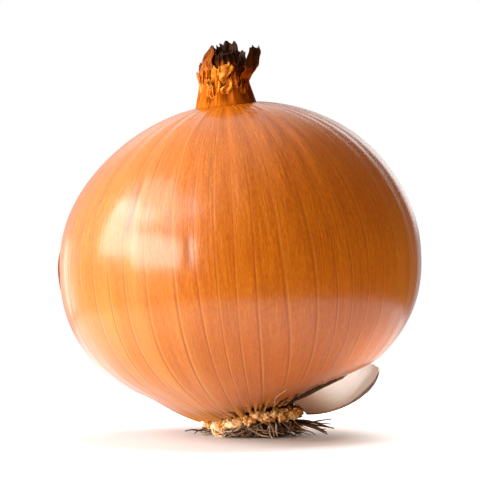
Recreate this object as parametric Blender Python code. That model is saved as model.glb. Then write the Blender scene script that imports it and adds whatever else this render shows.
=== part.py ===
"""A yellow onion standing on its dried roots.

Metres, +Z up, with its front at -Y. The origin is the middle of the flat spot that it stands on.
The bulb leans towards -X. Its shapes are worked out in the bulb's own frame, which is a radius from
its axis, an angle round it from the +X side, and a height along it from the root plate.
"""

import math
import random

import bmesh
import bpy
from mathutils import Matrix, Vector, noise

MM = 0.001

# The round bulb
LEAN = math.radians(5.2)
PLATE_HEIGHT = 4.7 * MM
BULB_RADIUS = 40.2 * MM
EQUATOR_HEIGHT = 34.0 * MM
CROWN_HEIGHT = 35.5 * MM
BASE_DEPTH = 34.2 * MM
BASE_POWER = 2.4
BASE_ROUNDING = 1.75
CROWN_ROUNDING = 0.51
CROWN_TILT = 0.032
CROWN_TILT_START = 9 * MM
CROWN_TILT_SPREAD = 20 * MM
SEGMENTS = 96
UNDERSIDE_RINGS = 11
CROWN_RINGS = 12

# The faint veins that run over the skin from root to neck
VEINS = 24
VEIN_RELIEF = 0.09 * MM
DENT_RELIEF = 0.35 * MM
DENT_SPREAD = 1.3
RELIEF_FADE = 8.2 * MM

# The root plate rises towards +X more than the bulb does, and lifts the skin up to a height at -X and at +X
PLATE_RISE = 0.15
PLATE_RISE_FADES = (6 * MM, 11 * MM)
MARGIN_HEIGHT = 1.4 * MM
MARGIN_RAGGED = 0.9 * MM
RECESS_RADIUS = 8.6 * MM
RECESS_HEIGHT = 2.6 * MM

# The dry neck, from the foot where it leaves the shoulder to the stump inside the torn sheaths
FOOT_RADIUS = 8.2 * MM
FOOT_CORNER = (6.5 * MM, 69.0 * MM)
FOOT_TOP = (5.6 * MM, 72.6 * MM)
FOOT_RINGS = 4
WAIST = (5.0 * MM, 75.2 * MM)
STUMP_RIM = (4.5 * MM, 77.0 * MM)
STUMP_TOP = 77.4 * MM
NECK_FOLDS = 7
NECK_FOLD_DEPTH = 0.35 * MM
NECK_FOLD_UNEVEN = 2.5

# The torn leaf sheaths: angle and width round the axis in degrees, then bend radius, tip radius and
# tip height in mm
SHEATHS = (
    (-138, 70, 5.6, 2.9, 82.6),
    (-82, 58, 5.9, 4.7, 78.6),
    (-12, 48, 9.6, 8.0, 82.3),
    (36, 46, 4.4, 5.8, 81.8),
    (74, 46, 4.2, 4.1, 83.2),
    (114, 50, 4.2, 4.0, 82.2),
    (166, 50, 5.0, 4.4, 80.4),
)
INNER_SHEATHS = 5
INNER_WIDTH = 52
INNER_TIP = (2.6 * MM, 80.6 * MM)
INNER_TIP_SPREAD = 0.9 * MM
INNER_JITTER = 0.5
SHEATH_THICKNESS = 0.7 * MM
SHEATH_ROOT = (4.2 * MM, 74.4 * MM)
INNER_ROOT = (2.2 * MM, 75.6 * MM)
SHEATH_BEND = 0.5
SHEATH_TAPER = 0.4
SHEATH_ROWS = 6
SHEATH_COLUMNS = 4
SHEATH_TOOTH = 0.8 * MM
SHEATH_CORNER = 0.25 * MM

# The tuft of roots: a matted core with a flat foot, corky lumps round the plate's rim, and single roots
PLATE_RADIUS = 8.2 * MM
PLATE_EDGE = 0.2 * MM
PLATE_TOP = 2.2 * MM
RIM_RADIUS = 9.6 * MM
RIM_HEIGHT = -0.6 * MM
FOOT_MAT_RADIUS = 7.9 * MM
FOOT_MAT_RAGGED = 0.6 * MM
MAT_WAIST_SHARE = 0.45
MAT_WAIST_SCALE = 0.94
MAT_WAIST_HEIGHT = 0.5 * MM
CORE_SEGMENTS = 24
LUMPS = 17
LUMP_RADIUS = (1.35 * MM, 2.0 * MM)
LUMP_JITTER = 0.35
LUMP_UNEVEN = (0.85, 1.1)
LUMP_DROP = 0.4
LUMP_FLATNESS = 0.85
GROUND_CLEARANCE = 0.12 * MM
ROOTS = 60
ROOT_RADIUS = 0.3 * MM
ROOT_SIDES = 3
ROOT_STEPS = 6
ROOT_REACH = (10.5 * MM, 13.0 * MM)
ROOT_START = (4.0 * MM, 8.0 * MM)
ROOT_TAPER = (1.15, 0.75)
ROOT_CURL = 0.35
ROOT_JITTER = 0.5
ROOT_DROP = 0.8
ROOT_DROP_POWER = 1.6
ROOT_WAVES = 5
ROOT_WAVE_HEIGHT = 0.35 * MM
LONG_ROOTS = (
    (180, 15.2 * MM),
    (-176, 13.4 * MM),
    (-24, 14.6 * MM),
    (-9, 17.0 * MM),
    (2, 15.6 * MM),
    (14, 16.4 * MM),
)

# The flap of skin that has peeled away under the +X side, and the flake that lifts on the -X side
SKIN_THICKNESS = 0.6 * MM
FLAP_ANGLES = (-5, 78)
FLAP_CURVE = ((11.6, -1.0), (19.0, -1.9), (27.3, 0.9), (29.0, 8.4))
FLAP_ROWS = 14
FLAP_COLUMNS = 14
FLAP_CLING_GAP = 0.45 * MM
FLAP_CLING_HEIGHTS = (1.9 * MM, 12.5 * MM)
FLAP_CLING_POWER = 1.5
FLAP_RAGGED = 0.05
FLAP_CORNER_CUT = 0.18
FLAKE_ANGLES = (165, 183.5)
FLAKE_HEIGHTS = (29.0 * MM, 39.8 * MM)
FLAKE_POINTS = (0.14, 0.86)
FLAKE_GAP = 0.35 * MM
FLAKE_LIFT = 0.3 * MM
FLAKE_COLUMNS = 8
FLAKE_ROWS = 8

SEED = 11
SMOOTH_ANGLE = math.radians(40)

SKIN_COLOUR = (0.62, 0.24, 0.05, 1.0)
FLAP_COLOUR = (0.72, 0.48, 0.30, 1.0)
FLAKE_COLOUR = (0.50, 0.15, 0.02, 1.0)
ROOT_COLOUR = (0.42, 0.26, 0.14, 1.0)


def clear_scene():
    """Empties the scene of its objects."""
    for thing in list(bpy.data.objects):
        bpy.data.objects.remove(thing)


def material(name, colour, roughness):
    """A plain non-metallic finish."""
    made = bpy.data.materials.new(name)
    made.use_nodes = True
    shader = made.node_tree.nodes["Principled BSDF"]
    shader.inputs["Base Color"].default_value = colour
    shader.inputs["Roughness"].default_value = roughness
    shader.inputs["Metallic"].default_value = 0.0
    return made


def mix(low, high, share):
    return low + (high - low) * share


def smooth_step(share):
    share = min(max(share, 0.0), 1.0)
    return share * share * (3 - 2 * share)


def around(radius, angle, height):
    """A point of the bulb's frame, with the angle in radians."""
    return Vector((radius * math.cos(angle), radius * math.sin(angle), height))


def bezier(corners, share):
    """A point on the curve of a list of two-number corners, by repeated halving between them."""
    points = [Vector(corner) for corner in corners]
    while len(points) > 1:
        points = [first.lerp(second, share) for first, second in zip(points, points[1:])]
    return points[0]


def belly_radius(height):
    """The bulb's radius at a height: almost half an ellipse above the equator, a fuller curve below it."""
    if height >= EQUATOR_HEIGHT:
        share = min((height - EQUATOR_HEIGHT) / CROWN_HEIGHT, 1.0)
        return BULB_RADIUS * (1 - share * share) ** CROWN_ROUNDING
    share = min((EQUATOR_HEIGHT - height) / BASE_DEPTH, 1.0)
    return BULB_RADIUS * (1 - share**BASE_POWER) ** (1 / BASE_ROUNDING)


def plate_rise(radius, angle, height):
    """How far the slanting root plate lifts the skin near it."""
    side = math.cos(angle)
    fade = 1 - smooth_step(height / mix(*PLATE_RISE_FADES, (1 + side) / 2))
    return PLATE_RISE * radius * side * fade


def crown_rise(radius, angle, height):
    """How far the shoulders are higher at +X, where the crown leans less than the rest of the bulb."""
    grown = smooth_step((height - EQUATOR_HEIGHT - CROWN_TILT_START) / CROWN_TILT_SPREAD)
    return CROWN_TILT * radius * math.cos(angle) * grown


def skin_point(angle, height, gap=0.0):
    """A point on the round skin, or a gap outside it."""
    radius = belly_radius(height)
    step = 0.2 * MM
    slope = (belly_radius(height + step) - belly_radius(height - step)) / (2 * step)
    outward = Vector((1.0, -slope)).normalized()
    vein = VEIN_RELIEF * math.cos(VEINS * angle)
    direction = around(DENT_SPREAD, angle, DENT_SPREAD * height / EQUATOR_HEIGHT)
    dent = DENT_RELIEF * noise.noise(direction)
    show = smooth_step((radius - RIM_RADIUS) / RELIEF_FADE)
    lift = gap + (vein + dent) * show
    radius += outward.x * lift
    height += outward.y * lift
    rise = plate_rise(radius, angle, height) + crown_rise(radius, angle, height)
    return around(radius, angle, height + rise)


def belly_heights():
    """Ring heights, evenly spaced along the curve rather than along the axis."""
    lowest = math.asin((EQUATOR_HEIGHT - MARGIN_HEIGHT) / BASE_DEPTH)
    for ring in range(UNDERSIDE_RINGS):
        turn = lowest * (1 - ring / UNDERSIDE_RINGS)
        yield EQUATOR_HEIGHT - BASE_DEPTH * math.sin(turn)
    highest = math.asin(math.sqrt(1 - (FOOT_RADIUS / BULB_RADIUS) ** (1 / CROWN_ROUNDING)))
    for ring in range(CROWN_RINGS + 1):
        turn = highest * ring / CROWN_RINGS
        yield EQUATOR_HEIGHT + CROWN_HEIGHT * math.sin(turn)


def neck_outline():
    """The neck's radius and height, from its foot up to the stump's rim."""
    drop = (FOOT_RADIUS / BULB_RADIUS) ** (1 / CROWN_ROUNDING)
    shoulder = (FOOT_RADIUS, EQUATOR_HEIGHT + CROWN_HEIGHT * math.sqrt(1 - drop))
    for ring in range(1, FOOT_RINGS + 1):
        yield bezier((shoulder, FOOT_CORNER, FOOT_TOP), ring / FOOT_RINGS)
    yield Vector(WAIST)
    yield Vector(STUMP_RIM)


def neck_point(radius, angle, height):
    """A point of the neck, folded lengthwise as the leaves dried."""
    share = smooth_step((FOOT_RADIUS - radius) / (FOOT_RADIUS - WAIST[0]))
    crowding = NECK_FOLD_UNEVEN * math.sin(2 * angle)
    fold = NECK_FOLD_DEPTH * share * math.cos(NECK_FOLDS * angle + crowding)
    return around(radius + fold, angle, height + crown_rise(radius, angle, height))


def turned_mesh(name, rings, bottom, top):
    """A closed mesh through rings of points, listed from the bottom up, with a point at each end."""
    shape = bmesh.new()
    loops = [[shape.verts.new(point) for point in ring] for ring in rings]
    for lower, upper in zip(loops, loops[1:]):
        for index, corner in enumerate(lower):
            after = (index + 1) % len(lower)
            shape.faces.new((corner, lower[after], upper[after], upper[index]))
    first, last = shape.verts.new(bottom), shape.verts.new(top)
    for index, corner in enumerate(loops[0]):
        shape.faces.new((first, loops[0][(index + 1) % len(loops[0])], corner))
    for index, corner in enumerate(loops[-1]):
        shape.faces.new((last, corner, loops[-1][(index + 1) % len(loops[-1])]))
    return finished_mesh(name, shape)


def finished_mesh(name, shape):
    bmesh.ops.recalc_face_normals(shape, faces=shape.faces)
    mesh = bpy.data.meshes.new(name)
    shape.to_mesh(mesh)
    shape.free()
    return mesh


def sheet_mesh(name, rows):
    """An open sheet through rows of points."""
    shape = bmesh.new()
    lines = [[shape.verts.new(point) for point in row] for row in rows]
    for lower, upper in zip(lines, lines[1:]):
        for left in range(len(lower) - 1):
            shape.faces.new((lower[left], lower[left + 1], upper[left + 1], upper[left]))
    mesh = bpy.data.meshes.new(name)
    shape.to_mesh(mesh)
    shape.free()
    return mesh


def add_object(name, mesh, finish=None):
    made = bpy.data.objects.new(name, mesh)
    bpy.context.scene.collection.objects.link(made)
    if finish:
        mesh.materials.append(finish)
    return made


def thicken(sheet, thickness, offset):
    """Gives a sheet its thickness: offset 1 adds it on the side that its faces point to, 0 on both."""
    solid = sheet.modifiers.new("thickness", "SOLIDIFY")
    solid.thickness = thickness
    solid.offset = offset
    solid.use_even_offset = True
    apply_modifiers(sheet)
    return sheet


def apply_modifiers(thing):
    bpy.context.view_layer.update()
    graph = bpy.context.evaluated_depsgraph_get()
    before = thing.data
    thing.data = bpy.data.meshes.new_from_object(thing.evaluated_get(graph))
    thing.modifiers.clear()
    bpy.data.meshes.remove(before)


def fuse(body, repeats, solver):
    """Joins the repeats to the body as one closed solid, and removes them."""
    group = bpy.data.collections.new(body.name + "_repeats")
    bpy.context.scene.collection.children.link(group)
    for repeat in repeats:
        group.objects.link(repeat)
    union = body.modifiers.new("union", "BOOLEAN")
    union.operation = "UNION"
    union.solver = solver
    union.operand_type = "COLLECTION"
    union.collection = group
    apply_modifiers(body)
    for repeat in repeats:
        bpy.data.objects.remove(repeat)
    bpy.data.collections.remove(group)
    return body


def angles(count):
    return [2 * math.pi * index / count for index in range(count)]


def bulb_body():
    """The bulb in its skin, from the recess that holds the root plate up to the stump of the neck."""
    ragged = random.Random(SEED)
    turn = angles(SEGMENTS)
    recess = [RECESS_HEIGHT + plate_rise(RECESS_RADIUS, angle, 0) for angle in turn]
    rings = [[around(RECESS_RADIUS, angle, height) for angle, height in zip(turn, recess)]]
    for index, height in enumerate(belly_heights()):
        rings.append([skin_point(angle, height) for angle in turn])
        if index == 0:
            for point in rings[-1]:
                point.z -= ragged.random() * MARGIN_RAGGED
    for outline in neck_outline():
        rings.append([neck_point(outline.x, angle, outline.y) for angle in turn])
    mesh = turned_mesh("bulb", rings, Vector((0, 0, RECESS_HEIGHT)), Vector((0, 0, STUMP_TOP)))
    return add_object("bulb", mesh, material("onion_skin", SKIN_COLOUR, 0.35))


def torn_sheath(name, root, bend_radius, tip, angle, width, teeth):
    """One dry leaf sheath: an arched blade that leaves the neck, bends to its tip and ends in a tear."""
    bend = (bend_radius, mix(root[1], tip[1], SHEATH_BEND))
    rows = []
    for row in range(SHEATH_ROWS + 1):
        share = row / SHEATH_ROWS
        radius, height = bezier((root, bend, tip), share)
        line = []
        for column in range(SHEATH_COLUMNS + 1):
            across = 2 * column / SHEATH_COLUMNS - 1
            spread = width / 2 * (1 - SHEATH_TAPER * share * share)
            drop = share**3 * (SHEATH_CORNER * abs(across) + teeth[column])
            line.append(around(radius, angle + across * spread, height - drop))
        rows.append(line)
    return thicken(add_object(name, sheet_mesh(name, rows)), SHEATH_THICKNESS, 0)


def torn_sheaths():
    """The whorl of outer sheaths, then a closer whorl inside it that is placed by an even turn."""
    torn = random.Random(SEED + 1)

    def teeth():
        return [torn.uniform(0, 2 * SHEATH_TOOTH) for _ in range(SHEATH_COLUMNS + 1)]

    blades = []
    for index, (angle, width, bend, radius, height) in enumerate(SHEATHS):
        place = (bend * MM, (radius * MM, height * MM), math.radians(angle), math.radians(width))
        blades.append(torn_sheath(f"sheath_{index}", SHEATH_ROOT, *place, teeth()))
    for index in range(INNER_SHEATHS):
        angle = 2 * math.pi * (index + INNER_JITTER * torn.random()) / INNER_SHEATHS
        height = INNER_TIP[1] + torn.uniform(-1, 1) * INNER_TIP_SPREAD
        place = (INNER_ROOT[0], (INNER_TIP[0], height), angle, math.radians(INNER_WIDTH))
        blades.append(torn_sheath(f"inner_{index}", INNER_ROOT, *place, teeth()))
    return blades


def bulb_frame():
    return Matrix.Translation((0, 0, PLATE_HEIGHT)) @ Matrix.Rotation(-LEAN, 4, "Y")


def root_core():
    """The plate in its recess, and below it the mat of roots that is pressed flat where it stands."""
    uneven = random.Random(SEED + 2)
    frame = bulb_frame()
    turn = angles(CORE_SEGMENTS)
    foot = []
    for angle in turn:
        reach = FOOT_MAT_RADIUS + uneven.uniform(-1, 1) * FOOT_MAT_RAGGED
        foot.append(Vector((reach * math.cos(angle), reach * math.sin(angle), 0)))

    def plate_ring(radius, height):
        return [frame @ around(radius, angle, height + plate_rise(radius, angle, 0)) for angle in turn]

    rim = plate_ring(RIM_RADIUS, RIM_HEIGHT)
    waist = [low.lerp(high, MAT_WAIST_SHARE) * MAT_WAIST_SCALE for low, high in zip(foot, rim)]
    for point in waist:
        point.z = max(point.z, MAT_WAIST_HEIGHT)
    rings = [foot, waist, rim, plate_ring(PLATE_RADIUS, PLATE_EDGE), plate_ring(PLATE_RADIUS, PLATE_TOP)]
    mesh = turned_mesh("roots", rings, Vector((0, 0, 0)), frame @ Vector((0, 0, PLATE_TOP)))
    return add_object("roots", mesh, material("dry_root", ROOT_COLOUR, 0.85))


def corky_lumps():
    """Rounded lumps of old cork round the rim of the plate."""
    uneven = random.Random(SEED + 3)
    frame = bulb_frame()
    lumps = []
    for index in range(LUMPS):
        angle = 2 * math.pi * (index + LUMP_JITTER * uneven.random()) / LUMPS
        size = uneven.uniform(*LUMP_RADIUS)
        height = RIM_HEIGHT - LUMP_DROP * size + plate_rise(RIM_RADIUS, angle, 0)
        middle = frame @ around(RIM_RADIUS, angle, height)
        shape = bmesh.new()
        bmesh.ops.create_icosphere(shape, subdivisions=1, radius=size)
        for corner in shape.verts:
            corner.co *= uneven.uniform(*LUMP_UNEVEN)
            corner.co.z *= LUMP_FLATNESS
            corner.co += middle
            corner.co.z = max(corner.co.z, GROUND_CLEARANCE)
        lumps.append(add_object(f"lump_{index}", finished_mesh(f"lump_{index}", shape)))
    return lumps


def tube_mesh(name, path, radii, sides):
    """A closed tube with flat sides through a path of points."""
    rings = []
    for index, point in enumerate(path):
        along = path[min(index + 1, len(path) - 1)] - path[max(index - 1, 0)]
        side = along.cross(Vector((0, 0, 1))).normalized()
        up = side.cross(along).normalized()
        ring = []
        for angle in angles(sides):
            corner = point + radii[index] * (math.cos(angle) * up + math.sin(angle) * side)
            corner.z = max(corner.z, GROUND_CLEARANCE)
            ring.append(corner)
        rings.append(ring)
    return turned_mesh(name, rings, path[0], path[-1])


def root_path(angle, start, reach, curl, lift):
    """A root's line: out of the mat, down in the open under the plate, then along the ground."""
    path = []
    rise = math.tan(LEAN) + PLATE_RISE
    for step in range(ROOT_STEPS + 1):
        share = step / ROOT_STEPS
        distance = mix(start, reach, share)
        turn = angle + curl * share * share
        under_plate = PLATE_HEIGHT + rise * start * math.cos(angle) + RIM_HEIGHT
        fall = under_plate * ROOT_DROP * (1 - share) ** ROOT_DROP_POWER
        wave = lift * (1 + math.sin(ROOT_WAVES * (share + angle)))
        height = max(fall + wave, GROUND_CLEARANCE + ROOT_RADIUS)
        path.append(Vector((distance * math.cos(turn), distance * math.sin(turn), height)))
    return path


def single_roots():
    """The dried roots that stick out of the mat all round, and the few long ones at its two sides."""
    uneven = random.Random(SEED + 4)
    plans = [(math.radians(angle), reach) for angle, reach in LONG_ROOTS]
    short = ROOTS - len(plans)
    for index in range(short):
        angle = 2 * math.pi * (index + ROOT_JITTER * uneven.random()) / short
        plans.append((angle, uneven.uniform(*ROOT_REACH)))
    roots = []
    for index, (angle, reach) in enumerate(plans):
        start = uneven.uniform(*ROOT_START)
        curl = uneven.uniform(-ROOT_CURL, ROOT_CURL)
        path = root_path(angle, start, reach, curl, uneven.uniform(0, ROOT_WAVE_HEIGHT))
        radii = [ROOT_RADIUS * mix(*ROOT_TAPER, step / ROOT_STEPS) for step in range(ROOT_STEPS + 1)]
        name = f"root_{index}"
        roots.append(add_object(name, tube_mesh(name, path, radii, ROOT_SIDES)))
    return roots


def flap_point(across, along):
    """A point of the peeled flap, free at its near edge and clinging to the skin at its far edge."""
    angle = math.radians(mix(*FLAP_ANGLES, across))
    corners = [(radius * MM, height * MM) for radius, height in FLAP_CURVE]
    radius, height = bezier(corners, along)
    free = around(radius, angle, height)
    cling = skin_point(angle, mix(*FLAP_CLING_HEIGHTS, along), FLAP_CLING_GAP)
    return free.lerp(cling, smooth_step(across) ** FLAP_CLING_POWER)


def loose_skin():
    """The flap of outer skin that has peeled away from the bulb and hangs from the root plate."""
    ragged = random.Random(SEED + 5)
    ends = [1 - FLAP_RAGGED * ragged.random() for _ in range(FLAP_COLUMNS + 1)]
    rows = []
    for row in range(FLAP_ROWS + 1):
        line = []
        for column in range(FLAP_COLUMNS + 1):
            across = column / FLAP_COLUMNS
            rounded = 1 - FLAP_CORNER_CUT * (2 * across - 1) ** 4
            line.append(flap_point(across, row / FLAP_ROWS * ends[column] * rounded))
        rows.append(line)
    sheet = add_object("loose_skin", sheet_mesh("loose_skin", rows), material("flap_skin", FLAP_COLOUR, 0.45))
    return thicken(sheet, SKIN_THICKNESS, 1)


def skin_flake():
    """A small flake of outer skin that lifts off the bulb along its front edge."""
    middle = sum(FLAKE_ANGLES) / 2
    rows = []
    for row in range(FLAKE_ROWS + 1):
        up = row / FLAKE_ROWS
        reach = math.sin(math.pi * mix(*FLAKE_POINTS, up))
        line = []
        for column in range(FLAKE_COLUMNS + 1):
            across = column / FLAKE_COLUMNS
            angle = math.radians(middle + (mix(*FLAKE_ANGLES, across) - middle) * reach)
            gap = FLAKE_GAP + FLAKE_LIFT * across**3 * reach
            line.append(skin_point(angle, mix(*FLAKE_HEIGHTS, up), gap))
        rows.append(line)
    finish = material("flake_skin", FLAKE_COLOUR, 0.5)
    sheet = add_object("skin_flake", sheet_mesh("skin_flake", rows), finish)
    return thicken(sheet, SKIN_THICKNESS, 1)


def shade(thing):
    """Smooth shading, with the sharp corners of tears and rims kept."""
    thing.data.shade_smooth()
    thing.data.set_sharp_from_angle(angle=SMOOTH_ANGLE)


def main():
    clear_scene()
    axis = bpy.data.objects.new("bulb_axis", None)
    bpy.context.scene.collection.objects.link(axis)
    axis.location = (0, 0, PLATE_HEIGHT)
    axis.rotation_euler = (0, -LEAN, 0)
    # The exact solver leaves open edges where the thin sheaths cross one another
    bulb = fuse(bulb_body(), torn_sheaths(), "MANIFOLD")
    leaning = [bulb, loose_skin(), skin_flake()]
    for thing in leaning:
        thing.parent = axis
    roots = fuse(root_core(), corky_lumps() + single_roots(), "EXACT")
    for thing in leaning + [roots]:
        shade(thing)


main()
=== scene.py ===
"""The looks of the onion: its fine skin, torn neck, dried roots and peeled flap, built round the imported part.

Metres, +Z up, with its front at -Y. The bulb's own frame is a radius from its leaning axis, an angle round it
from the +X side, and a height along it from the root plate.
"""

import math
from types import SimpleNamespace

import bmesh
import bpy
import numpy as np
from mathutils import Matrix, Vector, noise


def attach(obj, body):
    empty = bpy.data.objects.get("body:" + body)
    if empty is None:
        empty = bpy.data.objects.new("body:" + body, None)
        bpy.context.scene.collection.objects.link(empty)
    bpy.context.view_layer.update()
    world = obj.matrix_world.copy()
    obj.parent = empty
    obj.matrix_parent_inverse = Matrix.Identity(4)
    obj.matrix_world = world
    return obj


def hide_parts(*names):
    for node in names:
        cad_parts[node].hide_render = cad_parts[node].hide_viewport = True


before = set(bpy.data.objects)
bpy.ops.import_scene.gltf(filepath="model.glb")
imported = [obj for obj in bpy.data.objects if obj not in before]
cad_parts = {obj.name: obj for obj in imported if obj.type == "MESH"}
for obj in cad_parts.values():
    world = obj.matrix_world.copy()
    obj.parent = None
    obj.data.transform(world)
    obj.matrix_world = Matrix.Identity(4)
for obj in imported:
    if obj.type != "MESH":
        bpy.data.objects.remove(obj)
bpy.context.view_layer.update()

MM = 0.001
SEED = 5

# The bulb's form, which is the part's
LEAN = math.radians(5.2)
PLATE_HEIGHT = 4.7 * MM
BULB_RADIUS = 40.2 * MM
EQUATOR_HEIGHT = 34.0 * MM
CROWN_HEIGHT = 35.5 * MM
BASE_DEPTH = 34.2 * MM
BASE_POWER = 2.4
BASE_ROUNDING = 1.75
CROWN_ROUNDING = 0.51
CROWN_TILT = 0.032
CROWN_TILT_RISES = (9 * MM, 29 * MM)
PLATE_RISE = 0.15
PLATE_RISE_FADES = (6 * MM, 11 * MM)
MARGIN_HEIGHT = 1.4 * MM
RECESS_RADIUS = 8.6 * MM
RECESS_HEIGHT = 2.6 * MM

# The skin's fine mesh: the spacing of its rings at the torn margin, on the belly and on the neck
SKIN_COLUMNS = 432
MARGIN_SPACING = 0.25 * MM
BELLY_SPACING = 0.85 * MM
NECK_SPACING = 0.28 * MM
MARGIN_ZONE = (1.5 * MM, 4.5 * MM)
NECK_ZONE = (-1.5 * MM, -0.5 * MM)
LIP_RADIUS = 7.45 * MM
CURVE_STEPS = 600
NECK_CURVE_STEPS = 200
NECK_CURVE = ((6.95, 68.75), (6.1, 70.6), (5.3, 73.2), (4.95, 77.2))
STUMP = ((4.0, 76.6), (0.5, 76.2))
SLOPE_STEP = 0.2 * MM

# Relief of the skin
DENT_RELIEF = 0.35 * MM
DENT_SPREAD = 1.3
RIB_RELIEF = 0.05 * MM
PUCKER_RELIEF = 0.26 * MM
PUCKER_REACH = 10 * MM
NECK_PUCKER_REACH = 8 * MM
NECK_FOLD_RELIEF = 0.42 * MM
WRINKLE_RELIEF = 0.10 * MM
MARGIN_TEETH = 40
MARGIN_TOOTH = 2.0 * MM
MARGIN_FLARE = 0.3 * MM
MARGIN_BLEND = 6.0 * MM
# How the ring inside the torn margin is drawn in and up
MARGIN_INSET = (0.97, 0.97, 1.0)
MARGIN_TUCK = 0.1 * MM
NECK_PUCKER_SHARE = 0.15
NECK_FOLD_RISE = 2.5 * MM
BELLY_FADE = 4 * MM
# Fewest and most ripples round the bulb, how far they drift on their way up, and how many are summed
RIB_WAVES = (14, 46, 1.0)
PUCKER_WAVES = (28, 84, 1.5, 16)
FOLD_WAVES = (3, 13, 2.5, 6)

# Short pressed lines along the skin: angle in degrees, height and half length in mm, half width in degrees,
# and depth as a share of the wrinkles' relief
WRINKLES = (
    (-127.5, 49.0, 6.0, 1.7, 1.3),
    (-112.0, 44.5, 4.0, 1.1, 0.5),
    (-105.5, 39.3, 3.4, 1.0, 0.9),
    (-98.0, 55.0, 5.0, 1.2, 0.5),
)

# The skin's noises: their scale over the meridians, their detail, and their shares in its colour and relief
SKIN_NOISES = (
    ((170, 170, 34), 3.0, 0.42, 0.25),
    ((120, 120, 5), 2.0, 0.24, 0.5),
    ((46, 46, 1.5), 3.0, 0.14, 0.5),
    ((13, 13, 0.6), 3.0, 0.10, 0),
    ((4, 4, 3.5), 3.0, 0.10, 0),
    ((18, 18, 4), 3.0, 0, 1.6),
    ((7, 7, 3), 1.0, 0, 3.0),
)
# Colours along the streaks of the skin, and of its margin, its pale band, its veins, its neck, and the painted
# shade in its creases
SKIN_COLOURS = (
    (0.36, (0.44, 0.080, 0.002)),
    (0.46, (0.57, 0.125, 0.003)),
    (0.54, (0.65, 0.163, 0.005)),
    (0.66, (0.78, 0.250, 0.018)),
)
LOW_SKIN_COLOUR = (0.46, 0.085, 0.002)
LOW_SKIN_SHARE = 0.32
LOW_SKIN_FADES = (20 * MM, 65 * MM)
MARGIN_COLOUR = (0.80, 0.34, 0.045)
MARGIN_PALENESS = 0.35
MARGIN_SHARE = 0.8
PALE_BAND_COLOUR = (0.80, 0.36, 0.06)
PALE_BAND_ANGLE = math.radians(-136)
PALE_BAND_WIDTH = math.radians(28)
PALE_BAND_SHARE = 0.45
PALE_BAND_TOP_SHARE = 0.3
PALE_BAND_RIBS = (0.8, 1.2)
VEIN_COLOUR = (0.27, 0.05, 0.006)
VEIN_LIGHT_COLOUR = (0.86, 0.34, 0.06)
VEINS = 46
VEIN_BEND = (1.7, 1.7, 0.3)
VEIN_WANDER = 2.2
VEIN_DARK = ((0.445, 0.0), (0.50, 1.0), (0.555, 0.0))
VEIN_LIGHT = ((0.54, 0.0), (0.59, 1.0), (0.65, 0.0))
VEIN_FAINTNESS = (5, 5, 1.6)
VEIN_STRENGTH = 0.55
VEIN_LOW_STRENGTH = 0.85
VEIN_LIGHT_SHARE = 0.6
VEIN_GROOVE = 0.5
VEIN_RIDGE = 0.4
NECK_COLOURS = (
    (0.36, (0.20, 0.030, 0.001)),
    (0.50, (0.60, 0.125, 0.001)),
    (0.64, (0.80, 0.215, 0.006)),
)
# The neck's +X side turns darker brown, partly its own colour and partly painted shade away from the window
# light: that brown, where across the side it starts and ends, and how far it wanders
NECK_BROWN_AND_SHADE = (0.15, 0.030, 0.003)
NECK_SHADE_SIDE = ((0.30, 0.0), (0.80, 0.85))
NECK_SHADE_WANDER = 0.8
NECK_HAIRS = (26, 26, 8)
NECK_RIDGES = (9, 9, 2)
CREASE_SHADE_COLOUR = (0.06, 0.018, 0.006)
# Painted shade in the skin's creases: where between the puckers it starts, how fast it darkens and how dark it
# gets; then how dark it gets in the neck's folds, along the wrinkles and in the line where the neck starts, and
# that line's width
PUCKER_SHADE = (0.3, 1.6, 0.9)
FOLD_SHADE = 0.5
WRINKLE_SHADE = 0.4
NECK_LINE_SHADE = 0.6
NECK_LINE_WIDTH = 0.5 * MM

# The torn leaf sheaths: angle and width round the axis in degrees, the radius and height in mm of the corners
# of the curve that each follows to its tip, how deeply it is torn, and how dry and dark it is
SHEATHS = (
    (-152, 80, ((5.2, 71.5), (4.8, 74.0), (5.6, 79.2), (1.6, 82.6)), 0.10, 0.45),
    (-96, 66, ((5.2, 71.5), (4.8, 74.0), (5.9, 76.5), (4.7, 78.4)), 0.24, -0.05),
    (-50, 52, ((5.2, 71.5), (4.8, 74.0), (5.4, 76.5), (5.2, 78.8)), 0.20, 0.75),
    (-16, 66, ((5.6, 71.5), (4.0, 75.0), (9.9, 76.6), (8.0, 82.0)), 0.10, 0.85),
    (26, 64, ((5.2, 71.5), (4.8, 74.0), (4.6, 78.2), (5.4, 80.9)), 0.10, 0.70),
    (62, 80, ((5.2, 71.5), (4.8, 74.0), (4.8, 79.0), (3.9, 83.1)), 0.08, 0.75),
    (108, 58, ((5.2, 71.5), (4.8, 74.0), (4.4, 78.5), (3.6, 82.6)), 0.12, 0.85),
    (165, 56, ((5.2, 71.5), (4.8, 74.0), (5.3, 77.0), (4.6, 79.2)), 0.14, 0.60),
    (-86, 34, ((4.0, 77.4), (7.2, 77.8), (5.8, 76.2), (5.4, 74.6)), 0.50, -0.35),
    (-158, 34, ((5.0, 71.0), (5.8, 72.5), (5.6, 75.0), (5.6, 77.2)), 0.45, 0.15),
    (-128, 24, ((5.2, 70.2), (6.3, 71.6), (5.9, 73.6), (5.7, 76.4)), 0.50, -0.20),
    (-108, 20, ((5.2, 70.8), (6.2, 72.0), (5.8, 73.8), (5.9, 75.4)), 0.50, -0.05),
    (-84, 26, ((5.2, 71.0), (6.4, 72.2), (6.1, 73.4), (5.9, 75.0)), 0.55, -0.30),
    (-66, 22, ((5.0, 71.4), (6.0, 73.0), (5.5, 75.2), (5.8, 77.4)), 0.45, 0.20),
    (-48, 24, ((5.2, 70.0), (6.4, 71.6), (5.9, 73.4), (5.9, 75.6)), 0.55, 0.45),
    (-26, 26, ((5.0, 70.6), (6.2, 72.2), (5.6, 74.4), (5.9, 76.2)), 0.50, 0.65),
)
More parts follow.
